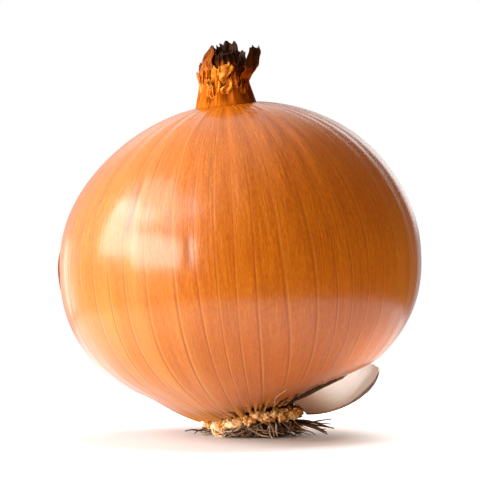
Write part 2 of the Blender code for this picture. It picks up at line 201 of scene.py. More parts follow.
# The sheaths inside those: their number, and the ranges of their sizes in mm, widths in degrees and dryness
INNER_SHEATHS = 8
INNER_JITTER = 0.6
INNER_RADIUS = (2.0, 3.9)
INNER_SWELL = 1.05
INNER_TIP_SHARE = (0.6, 1.2)
INNER_HEIGHTS = (75.5, 77.5, 79.5)
INNER_TIP_HEIGHT = (79.8, 82.2)
INNER_WIDTH = (45, 80)
INNER_TEAR = 0.25
INNER_DRYNESS = (0.8, 1.1)
SHEATH_ROWS = 44
SHEATH_COLUMNS = 40
SHEATH_TEETH = 11
SHEATH_THICKNESS = 0.22 * MM
SHEATH_TAPER = 0.35
SHEATH_FRAY = 0.12
# How a sheath ripples across and sways on its way up, from a start anywhere in a turn
SHEATH_RIPPLE = 0.22 * MM
RIPPLE_TURNS = (5, 9)
RIPPLE_SLANT = 1.5
RIPPLE_RISE = 0.35
SWAY = math.radians(4)
SWAY_TURNS = 4
ANY_START = (0, 6)
# How it crumples, and from what share of its length
SHEATH_CRUMPLE = 0.75 * MM
CRUMPLE_SEED = 3
CRUMPLE_SCALE = 420.0
CRUMPLE_REGION = (0, 50)
CRUMPLE_STRETCH = (1.0, 1.0, 0.7)
CRUMPLE_RISES = (0.12, 0.62)
# How its dryness grows from foot to tip, and how much drier its back is
SHEATH_DRYNESS = (0.25, 1.15)
DRYING_RISES = (0.3, 0.8)
BACK_DRYNESS = 0.3
# The shares of its fibres, its blotches and its dryness in its tone
SHEATH_TONE = (0.55, 0.6, -0.42)
SHEATH_GRAIN = (5.5, 12.0, 7.0)
SHEATH_FIBRES = (5.5, 0.5, 1.0)
SHEATH_BLOTCHES = (0.7, 0.35, 1.0)
SHEATH_COLOURS = (
    (0.13, (0.035, 0.010, 0.003)),
    (0.30, (0.130, 0.026, 0.003)),
    (0.48, (0.560, 0.130, 0.005)),
    (0.66, (0.920, 0.380, 0.045)),
)

# The large lumps of the root plate's corky rim: angle in degrees, distance from the middle, height over the
# ground and size in mm, and tone from dark to pale
LARGE_LUMPS = (
    (-141, 9.7, 1.8, 2.3, 1.0),
    (-148, 10.0, 3.5, 0.8, 1.0),
    (-115, 9.9, 3.2, 1.5, 0.85),
    (-101, 10.2, 4.3, 0.9, 0.6),
    (-87, 10.5, 5.4, 1.5, 0.6),
    (-76, 10.4, 5.0, 1.0, 0.7),
    (-66, 10.5, 5.4, 0.9, 0.75),
    (-56, 10.5, 4.8, 1.1, 0.6),
    (-42, 10.6, 5.1, 0.9, 0.7),
    (-27, 10.5, 4.7, 0.8, 0.9),
    (165, 9.6, 2.6, 1.5, 0.8),
    (35, 10.0, 5.0, 1.4, 0.7),
    (80, 9.8, 4.6, 1.5, 0.6),
    (125, 9.8, 3.4, 1.5, 0.7),
)
LARGE_FINENESS = 4
SMALL_FINENESS = 3
# The unevenness of large and of small lumps: share of their size, and how many swellings across them
LARGE_RELIEF = ((0.38, 1.5), (0.24, 3.4), (0.17, 7.5))
SMALL_RELIEF = ((0.60, 1.5), (0.38, 3.6), (0.16, 8.0))
# How much painted shade darkens a lump's hollows, and its tone where it swells as much as on average
CORK_HOLLOW_SHADE = 2.6
CORK_TONE = 0.9
LUMP_STRETCH = (0.65, 1.25)
LUMP_NOISE_STEP = 9.0
LUMP_GRAIN_STEP = 3.0
# The crumbs: their places round the axis and from it, and their tones
SMALL_LUMPS = 200
SMALL_LUMP_SIZE = (0.25 * MM, 0.85 * MM)
CRUMB_JITTER = 0.4
CRUMB_RADIUS = 10.4 * MM
CRUMB_ROUNDING = 0.7 * MM
CRUMB_UNEVEN = (-0.3 * MM, 0.4 * MM)
CRUMB_TONES = (0.05, 0.9)
# On the +X side, where the flap shades them, they gather and darken
SHADE_FROM = 0.8
SHADE_GATHERING = 0.6
SHADE_DARKENING = 0.5
# How high the middle of the crumbs lies along the slant of the plate, in mm
CRUMB_LINE = ((-9, 2.9), (-4, 3.8), (0, 4.9), (5, 5.2), (10, 5.0))
CRUMB_SPREAD = 1.25 * MM
GROUND_CLEARANCE = 0.05 * MM
CORK_COLOURS = (
    (0.10, (0.070, 0.020, 0.004)),
    (0.30, (0.480, 0.170, 0.025)),
    (0.50, (0.900, 0.430, 0.105)),
    (0.80, (0.980, 0.680, 0.410)),
)

# The shares of a lump's or a root's own tone and of its noise in its colour, and what is added
ROOT_TONE = (0.62, 0.5, -0.06)

# The tuft of dried roots under the plate
RIM_HEIGHT = -0.6 * MM
PLATE_RADIUS = 9.5 * MM
PLATE_TOP = 2.2 * MM
MAT_RADIUS = 7.9 * MM
MAT_SEGMENTS = 96
MAT_RINGS = 10
MAT_WAVES = (4, 23, 0.0)
MAT_FOOT_RAGGED = 0.25 * MM
MAT_RIM_RAGGED = 0.05
MAT_WAIST = 0.08
MAT_TONE = 0.3
# Near black: the dried roots' brown with painted shade under the plate
MAT_BROWN_AND_SHADE_COLOURS = (
    (0.20, (0.015, 0.008, 0.005)),
    (0.60, (0.100, 0.050, 0.030)),
    (0.90, (0.250, 0.140, 0.080)),
)
# The mat's roots and the fringe's: where they start and end, how far they stray sideways, and their tones
MAT_STRANDS = 230
MAT_START = (3.5 * MM, 8.5 * MM)
MAT_DROP = 0.4 * MM
MAT_REACH = (7.0 * MM, 12.6 * MM)
MAT_END_HEIGHT = (0.1 * MM, 1.3 * MM)
MAT_STRAY = 0.8
MAT_TONES = (0.1, 1.0)
FRINGE_STRANDS = 90
FRINGE_START = (8.4 * MM, 9.8 * MM)
FRINGE_DROP = 0.7 * MM
FRINGE_REACH = (9.5 * MM, 12.4 * MM)
FRINGE_END_HEIGHT = (0.15 * MM, 1.6 * MM)
FRINGE_STRAY = 0.45
FRINGE_TONES = (0.2, 1.0)
# Every root: its steps and thickness, how it bows outwards, droops and wanders, and how it thins
STRAND_STEPS = 12
STRAND_TOP = 3.4 * MM
STRAND_RADIUS = (0.11 * MM, 0.24 * MM)
STRAND_JITTER = 0.8
STRAND_BOW = 1.08
STRAND_DROOP = 0.35
STRAND_WANDER = 0.45 * MM
STRAND_SWINGS = 3
STRAND_TAPER = (1.1, 0.45)
STRAND_TAPER_POWER = 1.5
STRAND_GRAIN_STEP = 2.0
TUBE_SIDES = 5
# A direction that no root runs along
TUBE_SIDEWAYS = (0.31, 0.17, 0.94)
# The radius and the drop under the rim at which the long ones start
LONG_START = (7.5 * MM, 0.8 * MM)
# Angle, reach, end height, radius in mm and tone of the roots that stick out furthest
LONG_STRANDS = (
    (180, 15.2, 0.8, 0.26, 0.2),
    (-176, 13.4, 0.5, 0.22, 0.3),
    (-34, 14.2, 0.8, 0.20, 0.7),
    (-24, 14.6, 0.5, 0.22, 0.6),
    (-16, 15.4, 1.5, 0.20, 0.4),
    (-13, 16.6, 1.2, 0.30, 0.3),
    (-9, 17.0, 0.5, 0.22, 0.5),
    (-6, 17.2, 2.2, 0.30, 0.3),
    (-3, 16.4, 2.6, 0.24, 0.5),
    (0, 17.6, 1.5, 0.26, 0.3),
    (2, 15.6, 1.2, 0.22, 0.5),
    (5, 16.8, 2.8, 0.26, 0.2),
    (14, 16.4, 0.4, 0.24, 0.7),
)
# Fibres that cling to the skin over the plate: angle, lowest and highest point and radius in mm, and tone
SKIN_FIBRES = (
    (-73, 2.4, 6.3, 0.14, 0.95),
    (-52, 3.0, 7.4, 0.12, 0.80),
    (-63, 1.8, 4.0, 0.12, 0.70),
    (-96, 1.9, 3.6, 0.12, 0.70),
    (-108, 1.5, 3.2, 0.18, 0.25),
    (-82, 1.5, 3.4, 0.20, 0.25),
    (-57, 1.6, 4.2, 0.20, 0.25),
    (-46, 1.6, 5.2, 0.22, 0.20),
    (-38, 1.6, 6.6, 0.25, 0.15),
    (-34, 2.0, 4.6, 0.28, 0.30),
    (-30, 1.8, 6.6, 0.22, 0.30),
    (-26, 1.6, 4.8, 0.26, 0.40),
    (-22, 1.8, 5.2, 0.20, 0.45),
    (-15, 2.0, 5.0, 0.18, 0.45),
    (-8, 2.0, 4.2, 0.20, 0.45),
    (-66, 1.4, 3.6, 0.22, 0.20),
    (-49, 1.4, 4.2, 0.30, 0.15),
    (-43, 1.6, 5.4, 0.30, 0.25),
    (-40, 1.8, 4.2, 0.34, 0.30),
    (-36, 1.8, 5.2, 0.30, 0.20),
    (-32, 1.6, 5.0, 0.32, 0.35),
    (-28, 1.8, 5.6, 0.28, 0.30),
    (-24, 1.6, 4.0, 0.34, 0.20),
    (-19, 1.8, 5.2, 0.30, 0.25),
    (-11, 1.8, 4.4, 0.28, 0.20),
)
FIBRE_SWAY = 0.03
FIBRE_SWAY_TURNS = 5
FIBRE_GAP = (0.15 * MM, 0.40 * MM)
STRAND_COLOURS = (
    (0.22, (0.030, 0.014, 0.007)),
    (0.46, (0.130, 0.062, 0.032)),
    (0.66, (0.380, 0.220, 0.125)),
    (0.88, (0.820, 0.620, 0.440)),
)

# The flap of skin that has peeled away under the +X side, and the flake that lifts on the -X side
FLAP_ANGLES = (-5, 78)
FLAP_CURVE = ((11.6, -1.0), (19.0, -1.9), (27.3, 0.9), (29.0, 8.4))
FLAP_CLING_HEIGHTS = (1.9 * MM, 12.5 * MM)
FLAP_CLING_GAP = 0.35 * MM
FLAP_CLING_POWER = 1.5
FLAP_ROWS = 70
FLAP_COLUMNS = 110
FLAP_THICKNESS = 0.22 * MM
FLAP_RIPPLE = 0.35 * MM
FLAP_RIPPLE_TURNS = (5.0, 3.0)
FLAP_TEETH = 23
FLAP_TOOTH = 0.06
FLAP_CORNERS = 0.18
# Painted shade along the flap's front edge, where its brown outer face is seen edge-on: its width, where along
# the flap it is widest, and the share of it that is darkest
FLAP_RIM = (0.08, 0.22)
FLAP_RIM_WIDEST = 0.66
FLAP_RIM_SPREAD = 0.24
FLAP_RIM_CORE = 0.6
FLAP_TIP_RIM = 0.03
FLAP_GRAIN = (30, 26, 0)
FLAP_INNER = (
    (0.34, (0.975, 0.780, 0.600)),
    (0.50, (0.990, 0.850, 0.690)),
    (0.66, (0.995, 0.920, 0.800)),
)
FLAP_OUTER = (
    (0.34, (0.640, 0.190, 0.030)),
    (0.66, (0.820, 0.340, 0.080)),
)
# The flap's front edge: near black, its brown outer face seen edge-on with painted shade
FLAP_EDGE_BROWN_AND_SHADE_COLOUR = (0.025, 0.008, 0.004)
# Near the root plate the flap turns brown, partly staining and partly painted shade where it meets the roots:
# that colour, where it fades, and how strong it is
STAIN_AND_SHADE_COLOUR = (0.24, 0.085, 0.025)
STAIN_AND_SHADE_FADES = (0.05, 0.55)
STAIN_AND_SHADE_SHARE = 0.95
PEEL_FIBRES = (2.4, 0.16, 1.0)
PEEL_GLOW_RADIUS = (1.0, 0.9, 0.8)
PEEL_GLOW_DEPTH = 2.5 * MM
FLAKE_ROWS = 60
FLAKE_COLUMNS = 30
FLAKE_ANGLES = (165, 183.5)
FLAKE_HEIGHTS = (29.0 * MM, 39.8 * MM)
FLAKE_THICKNESS = 0.15 * MM
FLAKE_GAP = 0.05 * MM
FLAKE_LIFT = 0.22 * MM
FLAKE_LIFT_SHARES = (0.2, 1.1)
FLAKE_ENDS = (0.06, 0.94)
FLAKE_SLANT = 1.3
FLAKE_BACK_TEETH = (7, 0.5)
FLAKE_FRONT_TEETH = (9, 0.25)
# How strongly its front and back edges are coloured as torn, and where across it that starts and ends
FLAKE_FRONT_EDGE = 0.7
FLAKE_FRONT_START = 0.7
FLAKE_BACK_EDGE = 0.25
FLAKE_BACK_RIM = 0.04
FLAKE_GRAIN = (8, 9, 40)
FLAKE_COLOURS = (
    (0.35, (0.550, 0.140, 0.008)),
    (0.65, (0.760, 0.280, 0.030)),
)
FLAKE_TORN_COLOUR = (0.40, 0.14, 0.03)

# The camera and the frame of the photograph
TARGET = Vector((-3.1, 0.0, 43.4)) * MM
CAMERA_DISTANCE = 1000 * MM
CAMERA_ELEVATION = 2.6
CAMERA_REACH = 100.0
FRAME_WIDTH = 106.7 * MM
SENSOR_WIDTH = 36.0

# Studio: the floor, the dome of light that is bright behind and dim in front, and the soft lights
FLOOR_RINGS = (20 * MM, 30 * MM, 40 * MM, 50 * MM, 60 * MM, 118 * MM)
FLOOR_SIDES = 96
FLOOR_COLOUR = (0.80, 0.80, 0.80, 1.0)
# How brightly the floor glows on the onion and, more, to the camera
FLOOR_GLOW = 0.60
FLOOR_GLOW_SEEN = 1.0
FLOOR_SHADE = Vector((-12.0, -14.0, 0.0)) * MM
FLOOR_GLOW_FADES = (24 * MM, 54 * MM)
# Where the dome of light is brightest, and its colour from the far side of that to it
DOME_PULL = (-1.0, 0.3, 0.6)
DOME_GLOW = (
    (0.05, (0.50, 0.275, 0.04)),
    (0.38, (0.21, 0.13, 0.045)),
    (0.62, (0.20, 0.17, 0.12)),
    (0.80, (0.80, 0.80, 0.80)),
    (1.00, (0.70, 0.70, 0.70)),
)
# The bright wall behind the onion: how much of it there is, from how squarely a direction faces it
WALL_GLOW = (
    (0.86, 0.0),
    (0.93, 1.0),
)
WALL_COLOUR = (0.55, 0.55, 0.55)
BACKDROP = (1.0, 1.0, 1.0)
# Name, azimuth from the front towards +X, elevation, distance, width, height, radiance
LIGHTS = (
    ("window", -85, 22, 0.62, 0.35, 0.35, 7.0),
    ("low_window", -55, 11, 0.62, 0.45, 0.23, 7.8),
    ("curtain", -72, 42, 0.62, 0.60, 0.28, 3.5),
    ("left_rim", -143, -4, 0.80, 0.18, 0.22, 2.0),
    ("rim", 164, 14, 0.80, 0.18, 0.36, 1.1),
    ("top", 186, 22, 0.90, 0.50, 0.20, 0.6),
)
# The narrow lights on the flap's pale inner face and on the cork: name, target in mm, azimuth, elevation,
# distance, power and the cone's full angle in degrees
SNOOTS = (
    ("flap_snoot", (26.5, 16.0, 11.5), 8, 0.3, 0.60, 32.0, 3.1),
    ("cork_snoot", (-4.0, -8.0, 3.0), -40, 2.0, 0.60, 5.0, 3.6),
)
SNOOT_SIZE = 0.005


def mix(low, high, share):
    return low + (high - low) * share


def smooth_step(value, start=0.0, end=1.0):
    """A share that rises smoothly from 0 to 1 while a value goes from a start to an end."""
    share = np.clip((value - start) / (end - start), 0.0, 1.0)
    return share * share * (3 - 2 * share)


def whole_turn(count):
    """Evenly spaced angles round a whole turn."""
    return np.linspace(0, 2 * math.pi, count, endpoint=False)


def around(radius, angle, height):
    """Points of the bulb's frame, with the angle in radians."""
    radius, angle, height = np.broadcast_arrays(radius, angle, height)
    return np.stack([radius * np.cos(angle), radius * np.sin(angle), height], axis=-1)


def bezier(corners, share):
    """Points on the curve of a list of corners."""
    share = np.asarray(share, float)[..., None]
    points = [np.asarray(corner, float) for corner in corners]
    while len(points) > 1:
        points = [first + (second - first) * share for first, second in zip(points, points[1:])]
    return points[0]


def unit(vectors):
    return vectors / np.maximum(np.linalg.norm(vectors, axis=-1, keepdims=True), 1e-12)


def standing(points):
    """Points of the bulb's frame, in the frame of the whole onion."""
    turn = np.array(Matrix.Rotation(-LEAN, 3, "Y"))
    return points @ turn.T + np.array((0, 0, PLATE_HEIGHT))


def waves(seed, lowest, highest, drift, count=12):
    """Seamless lengthwise ripples round the axis, as a function of angle and height, about -1 to 1."""
    draw = np.random.default_rng(seed)
    turns = draw.integers(lowest, highest + 1, count)
    starts = draw.uniform(0, 2 * math.pi, count)
    drifts = draw.uniform(-drift, drift, count)

    def value(angle, height):
        total = 0.0
        for turn, start, bend in zip(turns, starts, drifts):
            total = total + np.cos(turn * angle + start + bend * height / BULB_RADIUS)
        return total / math.sqrt(count)

    return value


def torn_line(seed, teeth, depth):
    """A ragged edge round the axis: sharp teeth of uneven width and depth, as a function of angle."""
    draw = np.random.default_rng(seed)
    places = np.sort(draw.uniform(0, 2 * math.pi, 2 * teeth))
    depths = depth * draw.random(2 * teeth) ** 2

    def value(angle):
        return np.interp(np.mod(angle, 2 * math.pi), places, depths, period=2 * math.pi)

    return value


def belly_radius(height):
    above = np.clip((height - EQUATOR_HEIGHT) / CROWN_HEIGHT, 0, 1)
    below = np.clip((EQUATOR_HEIGHT - height) / BASE_DEPTH, 0, 1)
    crown = (1 - above**2) ** CROWN_ROUNDING
    base = (1 - below**BASE_POWER) ** (1 / BASE_ROUNDING)
    return BULB_RADIUS * np.where(height >= EQUATOR_HEIGHT, crown, base)


def rise(radius, angle, height):
    """How far the slanting root plate and the less leaning crown lift the skin."""
    side = np.cos(angle)
    fade = 1 - smooth_step(height, 0, mix(*PLATE_RISE_FADES, (1 + side) / 2))
    grown = smooth_step(height - EQUATOR_HEIGHT, *CROWN_TILT_RISES)
    return radius * side * (PLATE_RISE * fade + CROWN_TILT * grown)


def skin_profile():
    """Radius and height of the skin from its margin to the top of the neck, closely spaced."""
    lowest = math.asin((EQUATOR_HEIGHT - MARGIN_HEIGHT) / BASE_DEPTH)
    under = EQUATOR_HEIGHT - BASE_DEPTH * np.sin(np.linspace(lowest, 0, CURVE_STEPS))
    highest = math.asin(math.sqrt(1 - (LIP_RADIUS / BULB_RADIUS) ** (1 / CROWN_ROUNDING)))
    over = EQUATOR_HEIGHT + CROWN_HEIGHT * np.sin(np.linspace(0, highest, CURVE_STEPS))[1:]
    heights = np.concatenate([under, over])
    belly = np.column_stack([belly_radius(heights), heights])
    neck = bezier(NECK_CURVE, np.linspace(0, 1, NECK_CURVE_STEPS)) * MM
    return np.concatenate([belly, neck]), len(belly)


def spaced_profile():
    """The profile again, with its points as close together as the mesh needs them at each place."""
    points, belly_count = skin_profile()
    steps = np.linalg.norm(np.diff(points, axis=0), axis=1)
    length = np.concatenate([[0], np.cumsum(steps)])
    to_margin = smooth_step(length, *MARGIN_ZONE)
    on_neck = smooth_step(length - length[belly_count], *NECK_ZONE)
    spacing = mix(mix(MARGIN_SPACING, BELLY_SPACING, to_margin), NECK_SPACING, on_neck)
    count = np.concatenate([[0], np.cumsum(steps / spacing[1:])])
    rows = int(round(count[-1]))
    places = np.interp(np.linspace(0, count[-1], rows + 1), count, length)
    radius = np.interp(places, length, points[:, 0])
    height = np.interp(places, length, points[:, 1])
    return radius, height, places, length[belly_count]


def profile_normal(radius, height):
    along = np.stack([np.gradient(radius), np.gradient(height)], axis=-1)
    along = unit(along)
    return np.stack([along[:, 1], -along[:, 0]], axis=-1)


def dents(angle, height):
    """Broad unevenness of the bulb, the same as the part's."""
    x = DENT_SPREAD * np.cos(angle)
    y = DENT_SPREAD * np.sin(angle)
    z = DENT_SPREAD * height / EQUATOR_HEIGHT
    x, y, z = np.broadcast_arrays(x, y, z)
    values = [noise.noise(Vector(place)) for place in zip(x.ravel(), y.ravel(), z.ravel())]
    return np.array(values).reshape(x.shape)


def wrinkles(angle, height):
    """How deep the short pressed lines are at each place."""
    total = 0.0
    for place, middle, reach, spread, depth in WRINKLES:
        aside = np.degrees(np.angle(np.exp(1j * (angle - math.radians(place))))) / spread
        along = (height / MM - middle) / reach
        total = total + depth * np.exp(-(aside**2)) * np.exp(-(along**4))
    return total


def grid_faces(rows, columns, start=0, closed=False, flip=False):
    """Four-sided faces between the rows of a grid of points."""
    row = np.arange(rows - 1)[:, None]
    column = np.arange(columns if closed else columns - 1)[None, :]
    after = (column + 1) % columns
    corners = [row * columns + column, row * columns + after, (row + 1) * columns + after,
               (row + 1) * columns + column]
    faces = np.stack(corners, axis=-1).reshape(-1, 4) + start
    return faces[:, ::-1] if flip else faces


def mesh_object(name, points, faces, finishes, face_finish=None, **attributes):
    """A smooth object of points and faces, with a value at each point for each named attribute."""
    mesh = bpy.data.meshes.new(name)
    mesh.from_pydata(np.asarray(points).tolist(), [], [list(face) for face in faces])
    for key, values in attributes.items():
        values = np.asarray(values, np.float32)
        if values.ndim == 2:
            mesh.attributes.new(key, "FLOAT_VECTOR", "POINT").data.foreach_set("vector", values.ravel())
        else:
            mesh.attributes.new(key, "FLOAT", "POINT").data.foreach_set("value", values)
    for finish in finishes if isinstance(finishes, tuple) else (finishes,):
        mesh.materials.append(finish)
    if face_finish is not None:
        mesh.polygons.foreach_set("material_index", face_finish)
    mesh.validate()
    mesh.shade_smooth()
    made = bpy.data.objects.new(name, mesh)
    bpy.context.scene.collection.objects.link(made)
    return made


def shell(grid, thickness):
    """A thin closed sheet: its front at a grid of points, its back a thickness behind them."""
    rows, columns = grid.shape[:2]
    normal = unit(np.cross(np.gradient(grid, axis=1), np.gradient(grid, axis=0)))
    back = grid - normal * thickness
    points = np.concatenate([grid.reshape(-1, 3), back.reshape(-1, 3)])
    half = rows * columns
    index = np.arange(half).reshape(rows, columns)
    border = np.concatenate([index[0, :-1], index[:-1, -1], index[-1, :0:-1], index[:0:-1, 0]])
    after = np.roll(border, -1)
    rim = np.stack([after, border, border + half, after + half], axis=-1)
    faces = np.concatenate([grid_faces(rows, columns), grid_faces(rows, columns, half, flip=True), rim])
    return points, faces


def new_finish(name, roughness, specular=0.5, coat=0.0, coat_roughness=0.3):
    """A node material whose uniform values sit on the shader's own sockets."""
    made = bpy.data.materials.new(name)
    made.use_nodes = True
    shader = made.node_tree.nodes["Principled BSDF"]
    shader.inputs["Roughness"].default_value = roughness
    shader.inputs["Specular IOR Level"].default_value = specular
    shader.inputs["Coat Weight"].default_value = coat
    shader.inputs["Coat Roughness"].default_value = coat_roughness
    return made, made.node_tree, shader


def node(tree, kind, inputs=(), **settings):
    """A shader node with its settings, and with its inputs linked to other nodes or set to values."""
    made = tree.nodes.new("ShaderNode" + kind)
    for key, value in settings.items():
        setattr(made, key, value)
    for key, value in dict(inputs).items():
        if isinstance(value, bpy.types.NodeSocket):
            tree.links.new(value, made.inputs[key])
        else:
            made.inputs[key].default_value = value
    return made


def attribute(tree, name, output="Vector"):
    return node(tree, "Attribute", attribute_name=name).outputs[output]


def noise_value(tree, place, scale, detail=3.0, roughness=0.55):
    """Noise over a place that is scaled along each axis."""
    scaled = node(tree, "VectorMath", {0: place, 1: scale}, operation="MULTIPLY").outputs[0]
    inputs = {"Vector": scaled, "Scale": 1.0, "Detail": detail, "Roughness": roughness}
    return node(tree, "TexNoise", inputs).outputs["Fac"]


def maths(tree, operation, *values):
    return node(tree, "Math", enumerate(values), operation=operation).outputs[0]


def weighted(tree, *pairs):
    """The sum of values, each times its weight."""
    total = 0.0
    for value, weight in pairs:
        total = maths(tree, "MULTIPLY_ADD", value, weight, total)
    return total


def ramp(tree, value, stops):
    """Colours or greys at places along a value."""
    made = node(tree, "ValToRGB", {"Fac": value})
    elements = made.color_ramp.elements
    while len(elements) < len(stops):
        elements.new(1.0)
    for element, (place, colour) in zip(elements, stops):
        element.position = place
        element.color = (*colour, 1.0) if isinstance(colour, tuple) else (colour, colour, colour, 1.0)
    return made.outputs["Color"]


def blend_colour(tree, share, *colours):
    first, second = ((*colour, 1.0) if isinstance(colour, tuple) else colour for colour in colours)
    inputs = {"Factor": share, "A": first, "B": second}
    return node(tree, "Mix", inputs, data_type="RGBA").outputs["Result"]


def blend_marks(tree, colour, **marks):
    """A colour that gives way to each mark's own where the mesh bears that mark."""
    for name, marked in marks.items():
        colour = blend_colour(tree, attribute(tree, name, "Fac"), colour, marked)
    return colour


def split(tree, vector):
    """The parts of a vector along X, Y and Z."""
    return node(tree, "SeparateXYZ", {0: vector}).outputs


def dress(tree, shader, colour, relief, strength, depth):
    """Gives a shader its colour, and the bump of a relief of some depth."""
    bump = node(tree, "Bump", {"Height": relief, "Strength": strength, "Distance": depth})
    tree.links.new(bump.outputs["Normal"], shader.inputs["Normal"])
    tree.links.new(colour, shader.inputs["Base Color"])


def noise_sums(tree, place, noises):
    """The sum of some noises for a colour and their sum for a relief, each noise with its own shares."""
    sums = ([], [])
    for scale, detail, *shares in noises:
        value = noise_value(tree, place, scale, detail)
        for pairs, share in zip(sums, shares):
            if share:
                pairs.append((value, share))
    return [weighted(tree, *pairs) for pairs in sums]


def vein_place(tree, place):
    """Where each point lies between one vein and the next, 0 to 1, with the vein itself at a half."""
    across = split(tree, place)
    angle = maths(tree, "ARCTAN2", across["Y"], across["X"])
    bend = noise_value(tree, place, VEIN_BEND, detail=1.0)
    turns = weighted(tree, (angle, VEINS / (2 * math.pi)), (bend, VEIN_WANDER))
    return maths(tree, "FRACT", turns)


def skin_veins(tree, place, low):
    """How dark and how light the veins make each point, most of all low on the bulb."""
    between = vein_place(tree, place)
    strongest = maths(tree, "MULTIPLY_ADD", low, VEIN_LOW_STRENGTH, VEIN_STRENGTH)
    strength = maths(tree, "MULTIPLY", strongest, noise_value(tree, place, VEIN_FAINTNESS))
    dark = maths(tree, "MULTIPLY", ramp(tree, between, VEIN_DARK), strength)
    light = maths(tree, "MULTIPLY", ramp(tree, between, VEIN_LIGHT), strength)
    return dark, light


def skin_finish():
    """Glossy papery skin: short fine flecks along the meridians, thin veins, and a broad paler band."""
    made, tree, shader = new_finish("onion_skin", 0.30, specular=0.3, coat=0.68, coat_roughness=0.20)
    place = attribute(tree, "meridian")
    streaks, relief = noise_sums(tree, place, SKIN_NOISES)
    low = attribute(tree, "low", "Fac")
    lowness = maths(tree, "MULTIPLY", low, LOW_SKIN_SHARE)
    colour = blend_colour(tree, lowness, ramp(tree, streaks, SKIN_COLOURS), LOW_SKIN_COLOUR)
    colour = blend_marks(tree, colour, pale=PALE_BAND_COLOUR)
    dark, light = skin_veins(tree, place, low)
    colour = blend_colour(tree, maths(tree, "MULTIPLY", light, VEIN_LIGHT_SHARE), colour, VEIN_LIGHT_COLOUR)
    colour = blend_colour(tree, dark, colour, VEIN_COLOUR)
    # painted shade in the creases goes over all the skin's other colours
    colour = blend_marks(tree, colour, margin=MARGIN_COLOUR, crease=CREASE_SHADE_COLOUR)
    relief = weighted(tree, (relief, 1.0), (dark, -VEIN_GROOVE), (light, VEIN_RIDGE))
    dress(tree, shader, colour, relief, strength=0.6, depth=0.16 * MM)
    return made


def neck_finish():
    """The matte skin of the neck, ridged lengthwise, browner on its +X side (partly its own darker brown,
    partly painted shade on the side away from the window light), with painted shade in its creases.
    """
    made, tree, shader = new_finish("neck_skin", roughness=0.6, specular=0.05)
    place = attribute(tree, "meridian")
    hairs = noise_value(tree, place, NECK_HAIRS)
    ridges = noise_value(tree, place, NECK_RIDGES, detail=2.0)
    wander = maths(tree, "MULTIPLY_ADD", ridges, NECK_SHADE_WANDER, -NECK_SHADE_WANDER / 2)
    # painted shade with some darker brown, growing towards the +X side
    brown = ramp(tree, maths(tree, "ADD", split(tree, place)["X"], wander), NECK_SHADE_SIDE)
    dry = ramp(tree, weighted(tree, (hairs, 0.5), (ridges, 0.5)), NECK_COLOURS)
    colour = blend_marks(tree, blend_colour(tree, brown, dry, NECK_BROWN_AND_SHADE), crease=CREASE_SHADE_COLOUR)
    dress(tree, shader, colour, hairs, strength=0.5, depth=0.2 * MM)
    return made


def sheath_finish():
    """Torn dry sheaths: orange where they are thin and lit, dark brown towards their tips."""
    made, tree, shader = new_finish("neck_sheath", roughness=0.5, specular=0.10)
    grain = attribute(tree, "grain")
    fibres = noise_value(tree, grain, SHEATH_FIBRES, detail=4.0)
    blotches = noise_value(tree, grain, SHEATH_BLOTCHES)
    tone = weighted(tree, *zip((fibres, blotches, attribute(tree, "dry", "Fac")), SHEATH_TONE))
    dress(tree, shader, ramp(tree, tone, SHEATH_COLOURS), fibres, strength=0.5, depth=0.25 * MM)
    return made


def root_finish(name, colours, crumb_scale):
    """Corky or fibrous dry root, its colour set by a tone at each point and a fine noise over it."""
    made, tree, shader = new_finish(name, roughness=0.85, specular=0.2)
    crumbs = noise_value(tree, attribute(tree, "grain"), (crumb_scale,) * 3, detail=4.0, roughness=0.65)
    tone = weighted(tree, *zip((attribute(tree, "tone", "Fac"), crumbs, 1.0), ROOT_TONE))
    dress(tree, shader, ramp(tree, tone, colours), crumbs, strength=0.7, depth=0.25 * MM)
    return made


def flap_finish(name, inner_colours, outer_colours, torn_and_shade_colour, glow):
    """Peeled skin that light shines through, with colours of its own inside and outside, a darker colour along
    its torn edges that on the flap is painted shade, and brown near the roots that is partly painted shade.
    """
    made, tree, shader = new_finish(name, roughness=0.42, specular=0.3)
    shader.inputs["Subsurface Weight"].default_value = glow
    shader.inputs["Subsurface Radius"].default_value = PEEL_GLOW_RADIUS
    shader.inputs["Subsurface Scale"].default_value = PEEL_GLOW_DEPTH
    fibres = noise_value(tree, attribute(tree, "grain"), PEEL_FIBRES, detail=4.0)
    inner, outer = ramp(tree, fibres, inner_colours), ramp(tree, fibres, outer_colours)
    colour = blend_marks(tree, inner, outside=outer, edge=torn_and_shade_colour, stain=STAIN_AND_SHADE_COLOUR)
    dress(tree, shader, colour, fibres, strength=0.3, depth=0.1 * MM)
    return made


def skin_point(angle, height, gap=0.0):
    """Points on the bare belly of the bulb, or a gap outside it."""
    slope = (belly_radius(height + SLOPE_STEP) - belly_radius(height - SLOPE_STEP)) / (2 * SLOPE_STEP)
    size = np.sqrt(1 + slope * slope)
    lift = gap + DENT_RELIEF * dents(angle, height)
    wide = belly_radius(height) + lift / size
    tall = height - slope / size * lift
    return around(wide, angle, tall + rise(wide, angle, tall))


def closed_rings(rows, columns):
    """Faces of rows of rings, closed at both ends to the two points that follow the rings."""
    ring = range(columns)
    first = rows * columns
    top = first - columns
    faces = grid_faces(rows, columns, closed=True).tolist()
    faces += [(first, (corner + 1) % columns, corner) for corner in ring]
    faces += [(first + 1, top + corner, top + (corner + 1) % columns) for corner in ring]
    return faces


def joined(meshes):
    """Points, faces and further values of many small meshes, as those of one mesh."""
    points, faces, *values = zip(*meshes)
    starts = np.cumsum([0] + [len(group) for group in points])
    all_faces = [[corner + start for corner in face] for group, start in zip(faces, starts) for face in group]
    return np.concatenate(points), all_faces, *[np.concatenate(value) for value in values]


